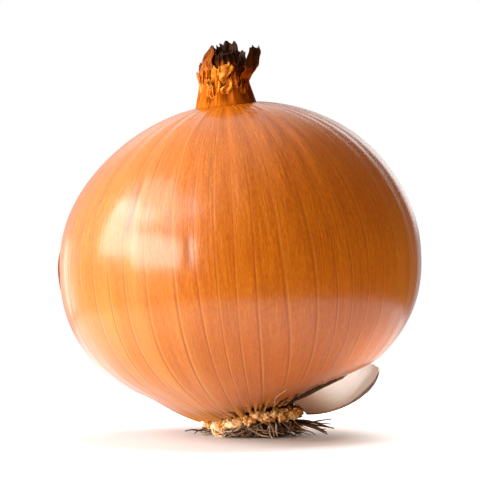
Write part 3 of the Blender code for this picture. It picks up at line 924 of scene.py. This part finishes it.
def skin_form():
    """The skin before its relief: where along the profile each point lies, and which way the skin faces."""
    radius, height, length, neck_start = spaced_profile()
    normal = profile_normal(radius, height)
    form = SimpleNamespace(turn=whole_turn(SKIN_COLUMNS)[None, :])
    form.near_edge = np.clip(1 - length[:, None] / MARGIN_BLEND, 0, 1) ** 2
    form.place = length[:, None] + torn_line(SEED, MARGIN_TEETH, MARGIN_TOOTH)(form.turn) * form.near_edge
    form.from_neck = form.place - neck_start
    form.neck_row = int(np.searchsorted(length, neck_start))
    form.wide = np.interp(form.place, length, radius)
    form.tall = np.interp(form.place, length, height)
    form.out_wide = np.interp(form.place, length, normal[:, 0])
    form.out_tall = np.interp(form.place, length, normal[:, 1])
    return form


def add_ripples(form):
    """Adds the skin's ripples, and how far each point belongs to the root, the belly and the neck."""
    form.near_root = 1 - smooth_step(form.place, 0, PUCKER_REACH)
    form.near_neck = (1 - smooth_step(-form.from_neck, 0, NECK_PUCKER_REACH)) * (form.from_neck < 0)
    form.on_neck = smooth_step(form.from_neck, 0, NECK_FOLD_RISE)
    form.belly = 1 - smooth_step(form.from_neck, -BELLY_FADE, 0)
    form.ribs = waves(SEED + 1, *RIB_WAVES)(form.turn, form.tall)
    form.puckers = waves(SEED + 2, *PUCKER_WAVES)(form.turn, form.tall)
    form.folds = 0.5 - np.abs(waves(SEED + 3, *FOLD_WAVES)(form.turn, form.tall))
    form.pressed = wrinkles(form.turn, form.tall)


def skin_points(form):
    """The skin's points in the bulb's frame, with its relief."""
    lift = (DENT_RELIEF * dents(form.turn, form.tall) + RIB_RELIEF * form.ribs) * form.belly
    lift = lift + PUCKER_RELIEF * form.puckers * (form.near_root + NECK_PUCKER_SHARE * form.near_neck)
    lift = lift - WRINKLE_RELIEF * form.pressed
    lift = lift + NECK_FOLD_RELIEF * form.folds * form.on_neck
    lift = lift + MARGIN_FLARE * form.near_edge * (1 + form.puckers) / 2
    wide = form.wide + form.out_wide * lift
    tall = form.tall + form.out_tall * lift
    return around(wide, form.turn, tall + rise(wide, form.turn, tall))


def skin_rings(skin, turn):
    """The skin's rings, between those that close it in the root's recess and in the neck's stump."""
    inner = skin[0] * np.array(MARGIN_INSET) + np.array((0, 0, MARGIN_TUCK))
    recess = around(RECESS_RADIUS, turn, RECESS_HEIGHT + rise(RECESS_RADIUS, turn, 0.0))
    stump = [around(radius * MM, turn, height * MM) for radius, height in STUMP]
    return np.concatenate([[recess, inner], skin, stump])


def skin_creases(form):
    """How much painted shade darkens the skin between its puckers and folds, along its wrinkles and where the
    neck starts.
    """
    start, gain, most = PUCKER_SHADE
    painted_shade = np.clip(gain * (-form.puckers) - start, 0, 1) * form.near_root * most
    painted_shade = painted_shade + FOLD_SHADE * np.clip(-form.folds, 0, 1) * form.on_neck
    painted_shade = painted_shade + WRINKLE_SHADE * form.pressed
    neck_line = np.clip(1 - np.abs(form.from_neck) / NECK_LINE_WIDTH, 0, 1) * NECK_LINE_SHADE
    return np.clip(np.clip(painted_shade, 0, 1) + neck_line, 0, 1)


def with_ends(values, shape, ends=None):
    """Values at the skin's points, carried on to the points that close it, or with a value of their own."""
    values = np.broadcast_to(values, shape)
    first = values[:1] if ends is None else np.full((1, shape[1]), ends)
    last = values[-1:] if ends is None else first
    grown = np.concatenate([first, first, values, last, last])
    return np.concatenate([grown.ravel(), [grown[0, 0], grown[-1, 0]]])


def skin_marks(form):
    """What the finishes read at each point: its meridian, how low, pale and frayed it is, and how much painted
    shade its creases get.
    """
    shape = form.place.shape
    low = 1 - smooth_step(form.place, *LOW_SKIN_FADES)
    off_band = np.angle(np.exp(1j * (form.turn - PALE_BAND_ANGLE))) / PALE_BAND_WIDTH
    band = PALE_BAND_SHARE * np.exp(-(off_band**2)) * mix(*PALE_BAND_RIBS, form.ribs)
    margin = np.clip(MARGIN_PALENESS + form.puckers, 0, 1) * form.near_root * MARGIN_SHARE
    meridian = (np.cos(form.turn), np.sin(form.turn), form.place / BULB_RADIUS)
    return {
        "meridian": np.stack([with_ends(value, shape) for value in meridian], axis=-1),
        "low": with_ends(low, shape),
        "pale": with_ends(mix(PALE_BAND_TOP_SHARE, 1.0, low) * band, shape),
        "margin": with_ends(margin, shape),
        # the points that close the skin in the recess and in the stump get full painted shade
        "crease": with_ends(skin_creases(form), shape, ends=1.0),
    }


def onion_skin():
    """The skin of the bulb from its torn margin over the belly to the folded neck, closed at both ends."""
    form = skin_form()
    add_ripples(form)
    rings = skin_rings(skin_points(form), form.turn[0])
    base = len(rings) * SKIN_COLUMNS
    points = np.concatenate([rings.reshape(-1, 3), [(0, 0, RECESS_HEIGHT), (0, 0, STUMP[-1][1] * MM)]])
    faces = closed_rings(len(rings), SKIN_COLUMNS)
    neck_from = (2 + form.neck_row) * SKIN_COLUMNS
    on_neck = np.array([face[0] >= neck_from and face[0] != base for face in faces])
    return mesh_object("onion_skin", standing(points), faces, (skin_finish(), neck_finish()),
                       on_neck.astype(np.int32), **skin_marks(form))


def sheath_grid(draw, angle, width, path, tear):
    """Points of one torn and crumpled sheath, and for each its share of the way to the tip."""
    up = np.linspace(0, 1, SHEATH_ROWS)[:, None]
    across = np.linspace(-1, 1, SHEATH_COLUMNS)[None, :]
    knots = np.linspace(-1, 1, SHEATH_TEETH)
    ends = 1 - tear * draw.random(SHEATH_TEETH)
    fray = 1 - SHEATH_FRAY * tear * draw.random(SHEATH_COLUMNS)
    share = up * np.interp(across, knots, ends) * fray
    place = bezier(path, share) * MM
    spread = math.radians(width) / 2 * (1 - SHEATH_TAPER * share**2)
    ripple = np.sin(across * draw.uniform(*RIPPLE_TURNS) + draw.uniform(*ANY_START) + RIPPLE_SLANT * share)
    lift = SHEATH_RIPPLE * ripple * smooth_step(share, 0, RIPPLE_RISE)
    sway = SWAY * np.sin(SWAY_TURNS * share + draw.uniform(*ANY_START))
    turn = math.radians(angle) + across * spread + sway
    points = around(place[..., 0] + lift, turn, place[..., 1])
    offset = Vector(draw.uniform(*CRUMPLE_REGION, 3))
    folds = [noise.noise_vector(Vector(point) * CRUMPLE_SCALE + offset) for point in points.reshape(-1, 3)]
    push = np.array(folds).reshape(points.shape) * CRUMPLE_STRETCH
    return points + SHEATH_CRUMPLE * push * smooth_step(share, *CRUMPLE_RISES)[..., None], share


def sheath_plans(draw):
    """Angle, width, outline, tear and dryness of the outer sheaths, then of the darker ones inside them."""
    yield from SHEATHS
    foot, waist, throat = INNER_HEIGHTS
    for index in range(INNER_SHEATHS):
        angle = 360 * (index + INNER_JITTER * draw.random()) / INNER_SHEATHS
        start = draw.uniform(*INNER_RADIUS)
        tip = start * draw.uniform(*INNER_TIP_SHARE)
        end = (tip, draw.uniform(*INNER_TIP_HEIGHT))
        path = ((start, foot), (start * INNER_SWELL, waist), (start, throat), end)
        yield angle, draw.uniform(*INNER_WIDTH), path, INNER_TEAR, draw.uniform(*INNER_DRYNESS)


def sheath_meshes(draw):
    """Points, faces, grain and dryness of each sheath, which is drier towards its tip and on its back."""
    across = np.linspace(-1, 1, SHEATH_COLUMNS)[None, :]
    for index, (angle, width, path, tear, dry) in enumerate(sheath_plans(draw)):
        grid, share = sheath_grid(draw, angle, width, path, tear)
        points, faces = shell(grid, SHEATH_THICKNESS)
        wide = across * math.radians(width) / 2
        marks = (np.stack(np.broadcast_arrays(wide, share, index), axis=-1) * SHEATH_GRAIN).reshape(-1, 3)
        dryness = (dry * mix(*SHEATH_DRYNESS, smooth_step(share, *DRYING_RISES))).ravel()
        yield points, faces, np.concatenate([marks, marks]), np.concatenate([dryness, dryness + BACK_DRYNESS])


def neck_sheaths():
    """The sheaths that wrap the neck, dry and torn off at their tips."""
    draw = np.random.default_rng(SEED + 10)
    noise.seed_set(CRUMPLE_SEED)
    points, faces, grain, dryness = joined(sheath_meshes(draw))
    return mesh_object("neck_sheaths", standing(points), faces, sheath_finish(), grain=grain, dry=dryness)


def ball(fineness):
    """Points and faces of a finely divided unit ball."""
    shape = bmesh.new()
    bmesh.ops.create_icosphere(shape, subdivisions=fineness, radius=1.0)
    points = np.array([corner.co[:] for corner in shape.verts])
    faces = [[corner.index for corner in face.verts] for face in shape.faces]
    shape.free()
    return points, faces


def rough(points, scale, offset):
    """Noise at each point, about -1 to 1."""
    return np.array([noise.noise(Vector(point) * scale + Vector((offset, 0, 0))) for point in points])


def cork_plans(draw):
    """Middle, size and tone of each corky lump: the large ones listed, then crumbs over and between them."""
    for angle, radius, height, size, tone in LARGE_LUMPS:
        yield around(radius * MM, math.radians(angle), height * MM), size * MM, tone
    across, heights = zip(*CRUMB_LINE)
    for index in range(SMALL_LUMPS):
        angle = 2 * math.pi * (index + draw.uniform(-CRUMB_JITTER, CRUMB_JITTER)) / SMALL_LUMPS
        off = draw.uniform(-1, 1)
        radius = CRUMB_RADIUS - CRUMB_ROUNDING * off * off + draw.uniform(*CRUMB_UNEVEN)
        shaded = smooth_step(math.cos(angle), SHADE_FROM, 1)
        middle = np.interp(radius * math.cos(angle) / MM, across, heights) * MM
        height = middle + CRUMB_SPREAD * off * (1 - SHADE_GATHERING * shaded)
        tone = draw.uniform(*CRUMB_TONES) * (1 - SHADE_DARKENING * shaded)
        yield around(radius, angle, height), draw.uniform(*SMALL_LUMP_SIZE), tone


def cork_meshes(draw):
    """Points, faces, grain and tone of each corky lump, with painted shade where it is hollow."""
    large = (*ball(LARGE_FINENESS), LARGE_RELIEF)
    small = (*ball(SMALL_FINENESS), SMALL_RELIEF)
    for index, (middle, size, tone) in enumerate(cork_plans(draw)):
        form, faces, relief = large if index < len(LARGE_LUMPS) else small
        swell = 1 + sum(share * rough(form, scale, LUMP_NOISE_STEP * index) for share, scale in relief)
        points = middle + form * swell[:, None] * size * draw.uniform(*LUMP_STRETCH, 3)
        points[:, 2] = np.maximum(points[:, 2], GROUND_CLEARANCE)
        # painted shade: each lump darkens where its surface sinks below its mean swell
        tones = np.clip(tone * (CORK_TONE + CORK_HOLLOW_SHADE * (swell - 1)), 0, 1)
        yield points, faces, form * size / MM + LUMP_GRAIN_STEP * index, tones


def root_plate():
    """The corky rim of the root plate: lumps and crumbs with painted shade in their hollows and dark clefts
    between them.
    """
    points, faces, grain, tones = joined(cork_meshes(np.random.default_rng(SEED + 20)))
    finish = root_finish("cork", CORK_COLOURS, crumb_scale=1.6)
    return mesh_object("root_plate", points, faces, finish, grain=grain, tone=tones)


def root_mat():
    """The core of the tuft, pressed flat where the onion stands on it, near black: the roots' brown with
    painted shade under the plate.
    """
    turn = whole_turn(MAT_SEGMENTS)
    ragged = waves(SEED + 30, *MAT_WAVES)(turn, 0.0)
    foot = around(MAT_RADIUS + MAT_FOOT_RAGGED * ragged, turn, 0.0)
    rim = standing(around(PLATE_RADIUS, turn, PLATE_TOP + PLATE_RISE * PLATE_RADIUS * np.cos(turn)))
    share = np.linspace(0, 1, MAT_RINGS)[:, None, None]
    wall = foot + (rim - foot) * share
    wall[..., :2] *= 1 - MAT_WAIST * np.sin(math.pi * share) + MAT_RIM_RAGGED * ragged[:, None] * share
    points = np.concatenate([wall.reshape(-1, 3), [(0, 0, 0), standing(np.array((0, 0, PLATE_TOP)))]])
    finish = root_finish("mat", MAT_BROWN_AND_SHADE_COLOURS, crumb_scale=1.2)
    return mesh_object("root_mat", points, closed_rings(MAT_RINGS, MAT_SEGMENTS), finish, grain=points / MM,
                       tone=np.full(len(points), MAT_TONE))


def tube(path, radii):
    """Points and faces of a round tube along a path, closed at both ends."""
    along = unit(np.gradient(path, axis=0))
    side = unit(np.cross(along, np.array(TUBE_SIDEWAYS)))
    up = np.cross(side, along)
    turn = whole_turn(TUBE_SIDES)
    round_path = np.cos(turn)[None, :, None] * side[:, None] + np.sin(turn)[None, :, None] * up[:, None]
    rings = path[:, None] + radii[:, None, None] * round_path
    faces = grid_faces(len(path), TUBE_SIDES, closed=True).tolist()
    faces.append(list(range(TUBE_SIDES))[::-1])
    faces.append([(len(path) - 1) * TUBE_SIDES + corner for corner in range(TUBE_SIDES)])
    return rings.reshape(-1, 3), faces


def rim_place(angle, radius, drop):
    """A point at a radius under the slanting rim of the root plate."""
    place = standing(around(radius, angle, RIM_HEIGHT - drop + PLATE_RISE * radius * math.cos(angle)))
    place[2] = min(place[2], STRAND_TOP)
    return place


def strand_path(draw, start, end):
    """A dried root from one point to another: it leaves outwards, droops and wanders on its way."""
    share = np.linspace(0, 1, STRAND_STEPS)[:, None]
    middle = (start + end) / 2
    middle[:2] *= STRAND_BOW
    middle[2] = mix(end[2], start[2], STRAND_DROOP)
    path = bezier((start, middle, end), share[:, 0])
    for step in range(1, STRAND_SWINGS + 1):
        swing = draw.normal(0, STRAND_WANDER / step, 3)
        path = path + swing * np.sin(math.pi * step * share + draw.uniform(0, 1)) * share
    path[:, 2] = np.maximum(path[:, 2], GROUND_CLEARANCE + STRAND_RADIUS[1])
    return path


def ground_point(reach, angle, height):
    return np.array((reach * math.cos(angle), reach * math.sin(angle), height))


def strand_plans(draw):
    """Start, end, thickness and tone of each root: a tangled mat, a fringe from the rim, then long ones."""
    for index in range(MAT_STRANDS):
        angle = 2 * math.pi * (index + draw.uniform(0, STRAND_JITTER)) / MAT_STRANDS
        begin = angle + draw.normal(0, MAT_STRAY)
        start = rim_place(begin, draw.uniform(*MAT_START), MAT_DROP)
        end = ground_point(draw.uniform(*MAT_REACH), angle, draw.uniform(*MAT_END_HEIGHT))
        yield start, end, draw.uniform(*STRAND_RADIUS), draw.uniform(*MAT_TONES)
    for index in range(FRINGE_STRANDS):
        angle = 2 * math.pi * (index + draw.uniform(0, STRAND_JITTER)) / FRINGE_STRANDS
        start = rim_place(angle, draw.uniform(*FRINGE_START), FRINGE_DROP)
        reach = draw.uniform(*FRINGE_REACH)
        end = ground_point(reach, angle + draw.normal(0, FRINGE_STRAY), draw.uniform(*FRINGE_END_HEIGHT))
        yield start, end, draw.uniform(*STRAND_RADIUS), draw.uniform(*FRINGE_TONES)
    for angle, reach, height, thick, tone in LONG_STRANDS:
        turn = math.radians(angle)
        yield rim_place(turn, *LONG_START), ground_point(reach, turn, height) * MM, thick * MM, tone


def all_strands(draw):
    """Path, thickness and tone of each root, then of each fibre over the skin."""
    for begin, end, thick, tone in strand_plans(draw):
        yield strand_path(draw, begin, end), thick, tone
    share = np.linspace(0, 1, STRAND_STEPS)
    for angle, low, high, thick, tone in SKIN_FIBRES:
        turn = math.radians(angle) + FIBRE_SWAY * np.sin(FIBRE_SWAY_TURNS * share + angle)
        gap = mix(*FIBRE_GAP, share**3)
        yield standing(skin_point(turn, mix(low, high, share) * MM, gap)), thick * MM, tone


def strand_meshes(draw):
    """Points, faces, grain and tone of each root and fibre, which thins towards its tip."""
    taper = mix(*STRAND_TAPER, np.linspace(0, 1, STRAND_STEPS) ** STRAND_TAPER_POWER)
    for index, (path, thick, tone) in enumerate(all_strands(draw)):
        points, faces = tube(path, thick * taper)
        yield points, faces, points / MM + STRAND_GRAIN_STEP * index, np.full(len(points), tone)


def root_strands():
    """All the dried roots in one piece."""
    points, faces, grain, tones = joined(strand_meshes(np.random.default_rng(SEED + 40)))
    finish = root_finish("strands", STRAND_COLOURS, crumb_scale=1.0)
    return mesh_object("root_strands", points, faces, finish, grain=grain, tone=tones)


def flap_grid(draw):
    """The flap's points, and for each its shares of the way across and along it."""
    across = np.linspace(0, 1, FLAP_COLUMNS)[None, :]
    teeth = 1 - FLAP_TOOTH * draw.random(FLAP_TEETH) ** 2
    ragged = np.interp(across, np.linspace(0, 1, FLAP_TEETH), teeth)
    along = np.linspace(0, 1, FLAP_ROWS)[:, None] * ragged * (1 - FLAP_CORNERS * (2 * across - 1) ** 4)
    across = np.broadcast_to(across, along.shape)
    angle = np.radians(mix(*FLAP_ANGLES, across))
    place = bezier(FLAP_CURVE, along) * MM
    across_turns, along_turns = FLAP_RIPPLE_TURNS
    ripple = FLAP_RIPPLE * np.sin(across_turns * across + along_turns * along) * np.sin(math.pi * along)
    free = around(place[..., 0], angle, place[..., 1] + ripple)
    cling = skin_point(angle, mix(*FLAP_CLING_HEIGHTS, along), FLAP_CLING_GAP)
    grid = free + (cling - free) * (smooth_step(across) ** FLAP_CLING_POWER)[..., None]
    return grid, across, along


def flap_marks(across, along):
    """How dark the flap's edges are at each point, with painted shade along the front one, and how far the
    brown near the root plate, partly staining and partly painted shade, has spread.
    """
    rim = mix(*FLAP_RIM, np.exp(-(((along - FLAP_RIM_WIDEST) / FLAP_RIM_SPREAD) ** 2)))
    front_edge = 1 - smooth_step(across / rim, FLAP_RIM_CORE, 1)
    edge = np.maximum(front_edge, 1 - smooth_step(1 - along / along.max(), 0, FLAP_TIP_RIM))
    stain = (1 - smooth_step(along, *STAIN_AND_SHADE_FADES)) * STAIN_AND_SHADE_SHARE
    return edge, stain


def peeled_flap():
    """The flap of outer skin that hangs from the root plate, its pale inner face towards the bulb."""
    grid, across, along = (part[:, ::-1] for part in flap_grid(np.random.default_rng(SEED + 50)))
    points, faces = shell(standing(grid), FLAP_THICKNESS)
    edge, stain = (np.tile(value.ravel(), 2) for value in flap_marks(across, along))
    marks = (np.stack([across, along, np.zeros_like(along)], axis=-1) * FLAP_GRAIN).reshape(-1, 3)
    finish = flap_finish("flap", FLAP_INNER, FLAP_OUTER, FLAP_EDGE_BROWN_AND_SHADE_COLOUR, glow=1.0)
    return mesh_object("peeled_flap", points, faces, finish, grain=np.tile(marks, (2, 1)), edge=edge,
                       stain=stain, outside=np.repeat((0.0, 1.0), across.size))


def flake_grid(up, across):
    """The flake's points, torn along both edges and lifting towards the front one."""
    reach = np.sin(math.pi * mix(*FLAKE_ENDS, up) ** FLAKE_SLANT)
    back_teeth = torn_line(SEED + 60, *FLAKE_BACK_TEETH)(2 * math.pi * up)
    front_teeth = torn_line(SEED + 61, *FLAKE_FRONT_TEETH)(2 * math.pi * up)
    middle = sum(FLAKE_ANGLES) / 2
    torn_reach = reach * (1 - mix(back_teeth, front_teeth, across))
    angle = np.radians(middle + (mix(*FLAKE_ANGLES, across) - middle) * torn_reach)
    gap = FLAKE_GAP + FLAKE_LIFT * across**2 * reach * mix(*FLAKE_LIFT_SHARES, up)
    return skin_point(angle, mix(*FLAKE_HEIGHTS, up), gap + FLAKE_THICKNESS)


def lifted_flake():
    """A small torn flake of skin that stands off the bulb along its front edge."""
    up, across = np.mgrid[0:1:1j * FLAKE_ROWS, 0:1:1j * FLAKE_COLUMNS]
    points, faces = shell(standing(flake_grid(up, across)), FLAKE_THICKNESS)
    front = FLAKE_FRONT_EDGE * smooth_step(across, FLAKE_FRONT_START, 1)
    back = FLAKE_BACK_EDGE * (1 - smooth_step(across, 0, FLAKE_BACK_RIM))
    marks = (np.stack([across, up, np.ones_like(up)], axis=-1) * FLAKE_GRAIN).reshape(-1, 3)
    plain = np.zeros(len(points))
    finish = flap_finish("flake", FLAKE_COLOURS, FLAKE_COLOURS, FLAKE_TORN_COLOUR, glow=0.0)
    return mesh_object("lifted_flake", points, faces, finish, grain=np.tile(marks, (2, 1)),
                       edge=np.tile((front + back).ravel(), 2), stain=plain, outside=plain)


def floor():
    """A plain pale disc under the onion, which glows faintly except close to the onion."""
    turn = whole_turn(FLOOR_SIDES)
    rings = np.array(FLOOR_RINGS)[:, None]
    points = np.concatenate([around(rings, turn, 0.0).reshape(-1, 3), [(0, 0, 0)]])
    faces = grid_faces(len(rings), FLOOR_SIDES, closed=True, flip=True).tolist()
    faces += [(len(points) - 1, side, (side + 1) % FLOOR_SIDES) for side in range(FLOOR_SIDES)]
    glow = smooth_step(np.linalg.norm(points - np.array(FLOOR_SHADE), axis=1), *FLOOR_GLOW_FADES)
    made, tree, shader = new_finish("floor", roughness=0.9, specular=0.1)
    shader.inputs["Base Color"].default_value = FLOOR_COLOUR
    seen = node(tree, "LightPath").outputs["Is Camera Ray"]
    strength = maths(tree, "MULTIPLY_ADD", seen, FLOOR_GLOW_SEEN - FLOOR_GLOW, FLOOR_GLOW)
    tree.links.new(strength, shader.inputs["Emission Strength"])
    tree.links.new(attribute(tree, "glow", "Color"), shader.inputs["Emission Color"])
    mesh_object("floor", points, faces, made, glow=glow)


def toward(azimuth, elevation):
    """The direction at an azimuth from the front towards +X, and an elevation, in degrees."""
    turn, up = math.radians(azimuth), math.radians(elevation)
    return Vector((math.sin(turn) * math.cos(up), -math.cos(turn) * math.cos(up), math.sin(up)))


def hang(data, target, azimuth, elevation, distance):
    """Hangs a light or a camera at a distance from its target, facing it."""
    made = bpy.data.objects.new(data.name, data)
    bpy.context.scene.collection.objects.link(made)
    away = toward(azimuth, elevation)
    made.location = target + distance * away
    made.rotation_euler = away.to_track_quat("Z", "Y").to_euler()
    return made


def soft_light(name, azimuth, elevation, distance, width, height, radiance):
    """A rectangle of even light that faces the onion."""
    lamp = bpy.data.lights.new(name, "AREA")
    lamp.shape = "RECTANGLE"
    lamp.size = width
    lamp.size_y = height
    lamp.energy = radiance * math.pi * width * height
    hang(lamp, Vector((0, 0, EQUATOR_HEIGHT)), azimuth, elevation, distance).visible_camera = False


def narrow_light(name, target, azimuth, elevation, distance, power, cone):
    """A narrow soft-edged light on a target."""
    lamp = bpy.data.lights.new(name, "SPOT")
    lamp.energy = power
    lamp.spot_size = math.radians(cone)
    lamp.spot_blend = 1.0
    lamp.shadow_soft_size = SNOOT_SIZE
    hang(lamp, Vector(target) * MM, azimuth, elevation, distance)


def studio_dome():
    """Light from all round, bright behind the onion and dim in front of it, before a plain white backdrop."""
    world = bpy.data.worlds.new("studio")
    bpy.context.scene.world = world
    world.use_nodes = True
    tree = world.node_tree
    place = node(tree, "TexCoord").outputs["Generated"]
    facing = node(tree, "VectorMath", {0: place, 1: DOME_PULL}, operation="DOT_PRODUCT").outputs["Value"]
    dome = ramp(tree, maths(tree, "MULTIPLY_ADD", facing, 0.5, 0.5), DOME_GLOW)
    wall = ramp(tree, split(tree, place)["Y"], WALL_GLOW)
    glow = blend_colour(tree, wall, dome, WALL_COLOUR)
    seen = node(tree, "LightPath").outputs["Is Camera Ray"]
    colour = blend_colour(tree, seen, glow, BACKDROP)
    tree.links.new(colour, tree.nodes["Background"].inputs["Color"])


def photographer():
    """The camera of the photograph: far off, in front and a little above."""
    made = hang(bpy.data.cameras.new("camera"), TARGET, 0, CAMERA_ELEVATION, CAMERA_DISTANCE)
    made.data.sensor_width = SENSOR_WIDTH
    made.data.lens = SENSOR_WIDTH * CAMERA_DISTANCE / FRAME_WIDTH
    made.data.clip_end = CAMERA_REACH
    bpy.context.scene.camera = made


def place_piece(piece, nodes):
    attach(piece, "root")
    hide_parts(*nodes)


photographer()
studio_dome()
for light in LIGHTS:
    soft_light(*light)
for light in SNOOTS:
    narrow_light(*light)
floor()
bpy.context.scene.view_settings.view_transform = "Standard"
place_piece(onion_skin(), ["bulb"])
place_piece(neck_sheaths(), ["bulb"])
place_piece(root_plate(), ["roots"])
place_piece(root_mat(), ["roots"])
place_piece(root_strands(), ["roots"])
place_piece(peeled_flap(), ["loose_skin"])
place_piece(lifted_flake(), ["skin_flake"])
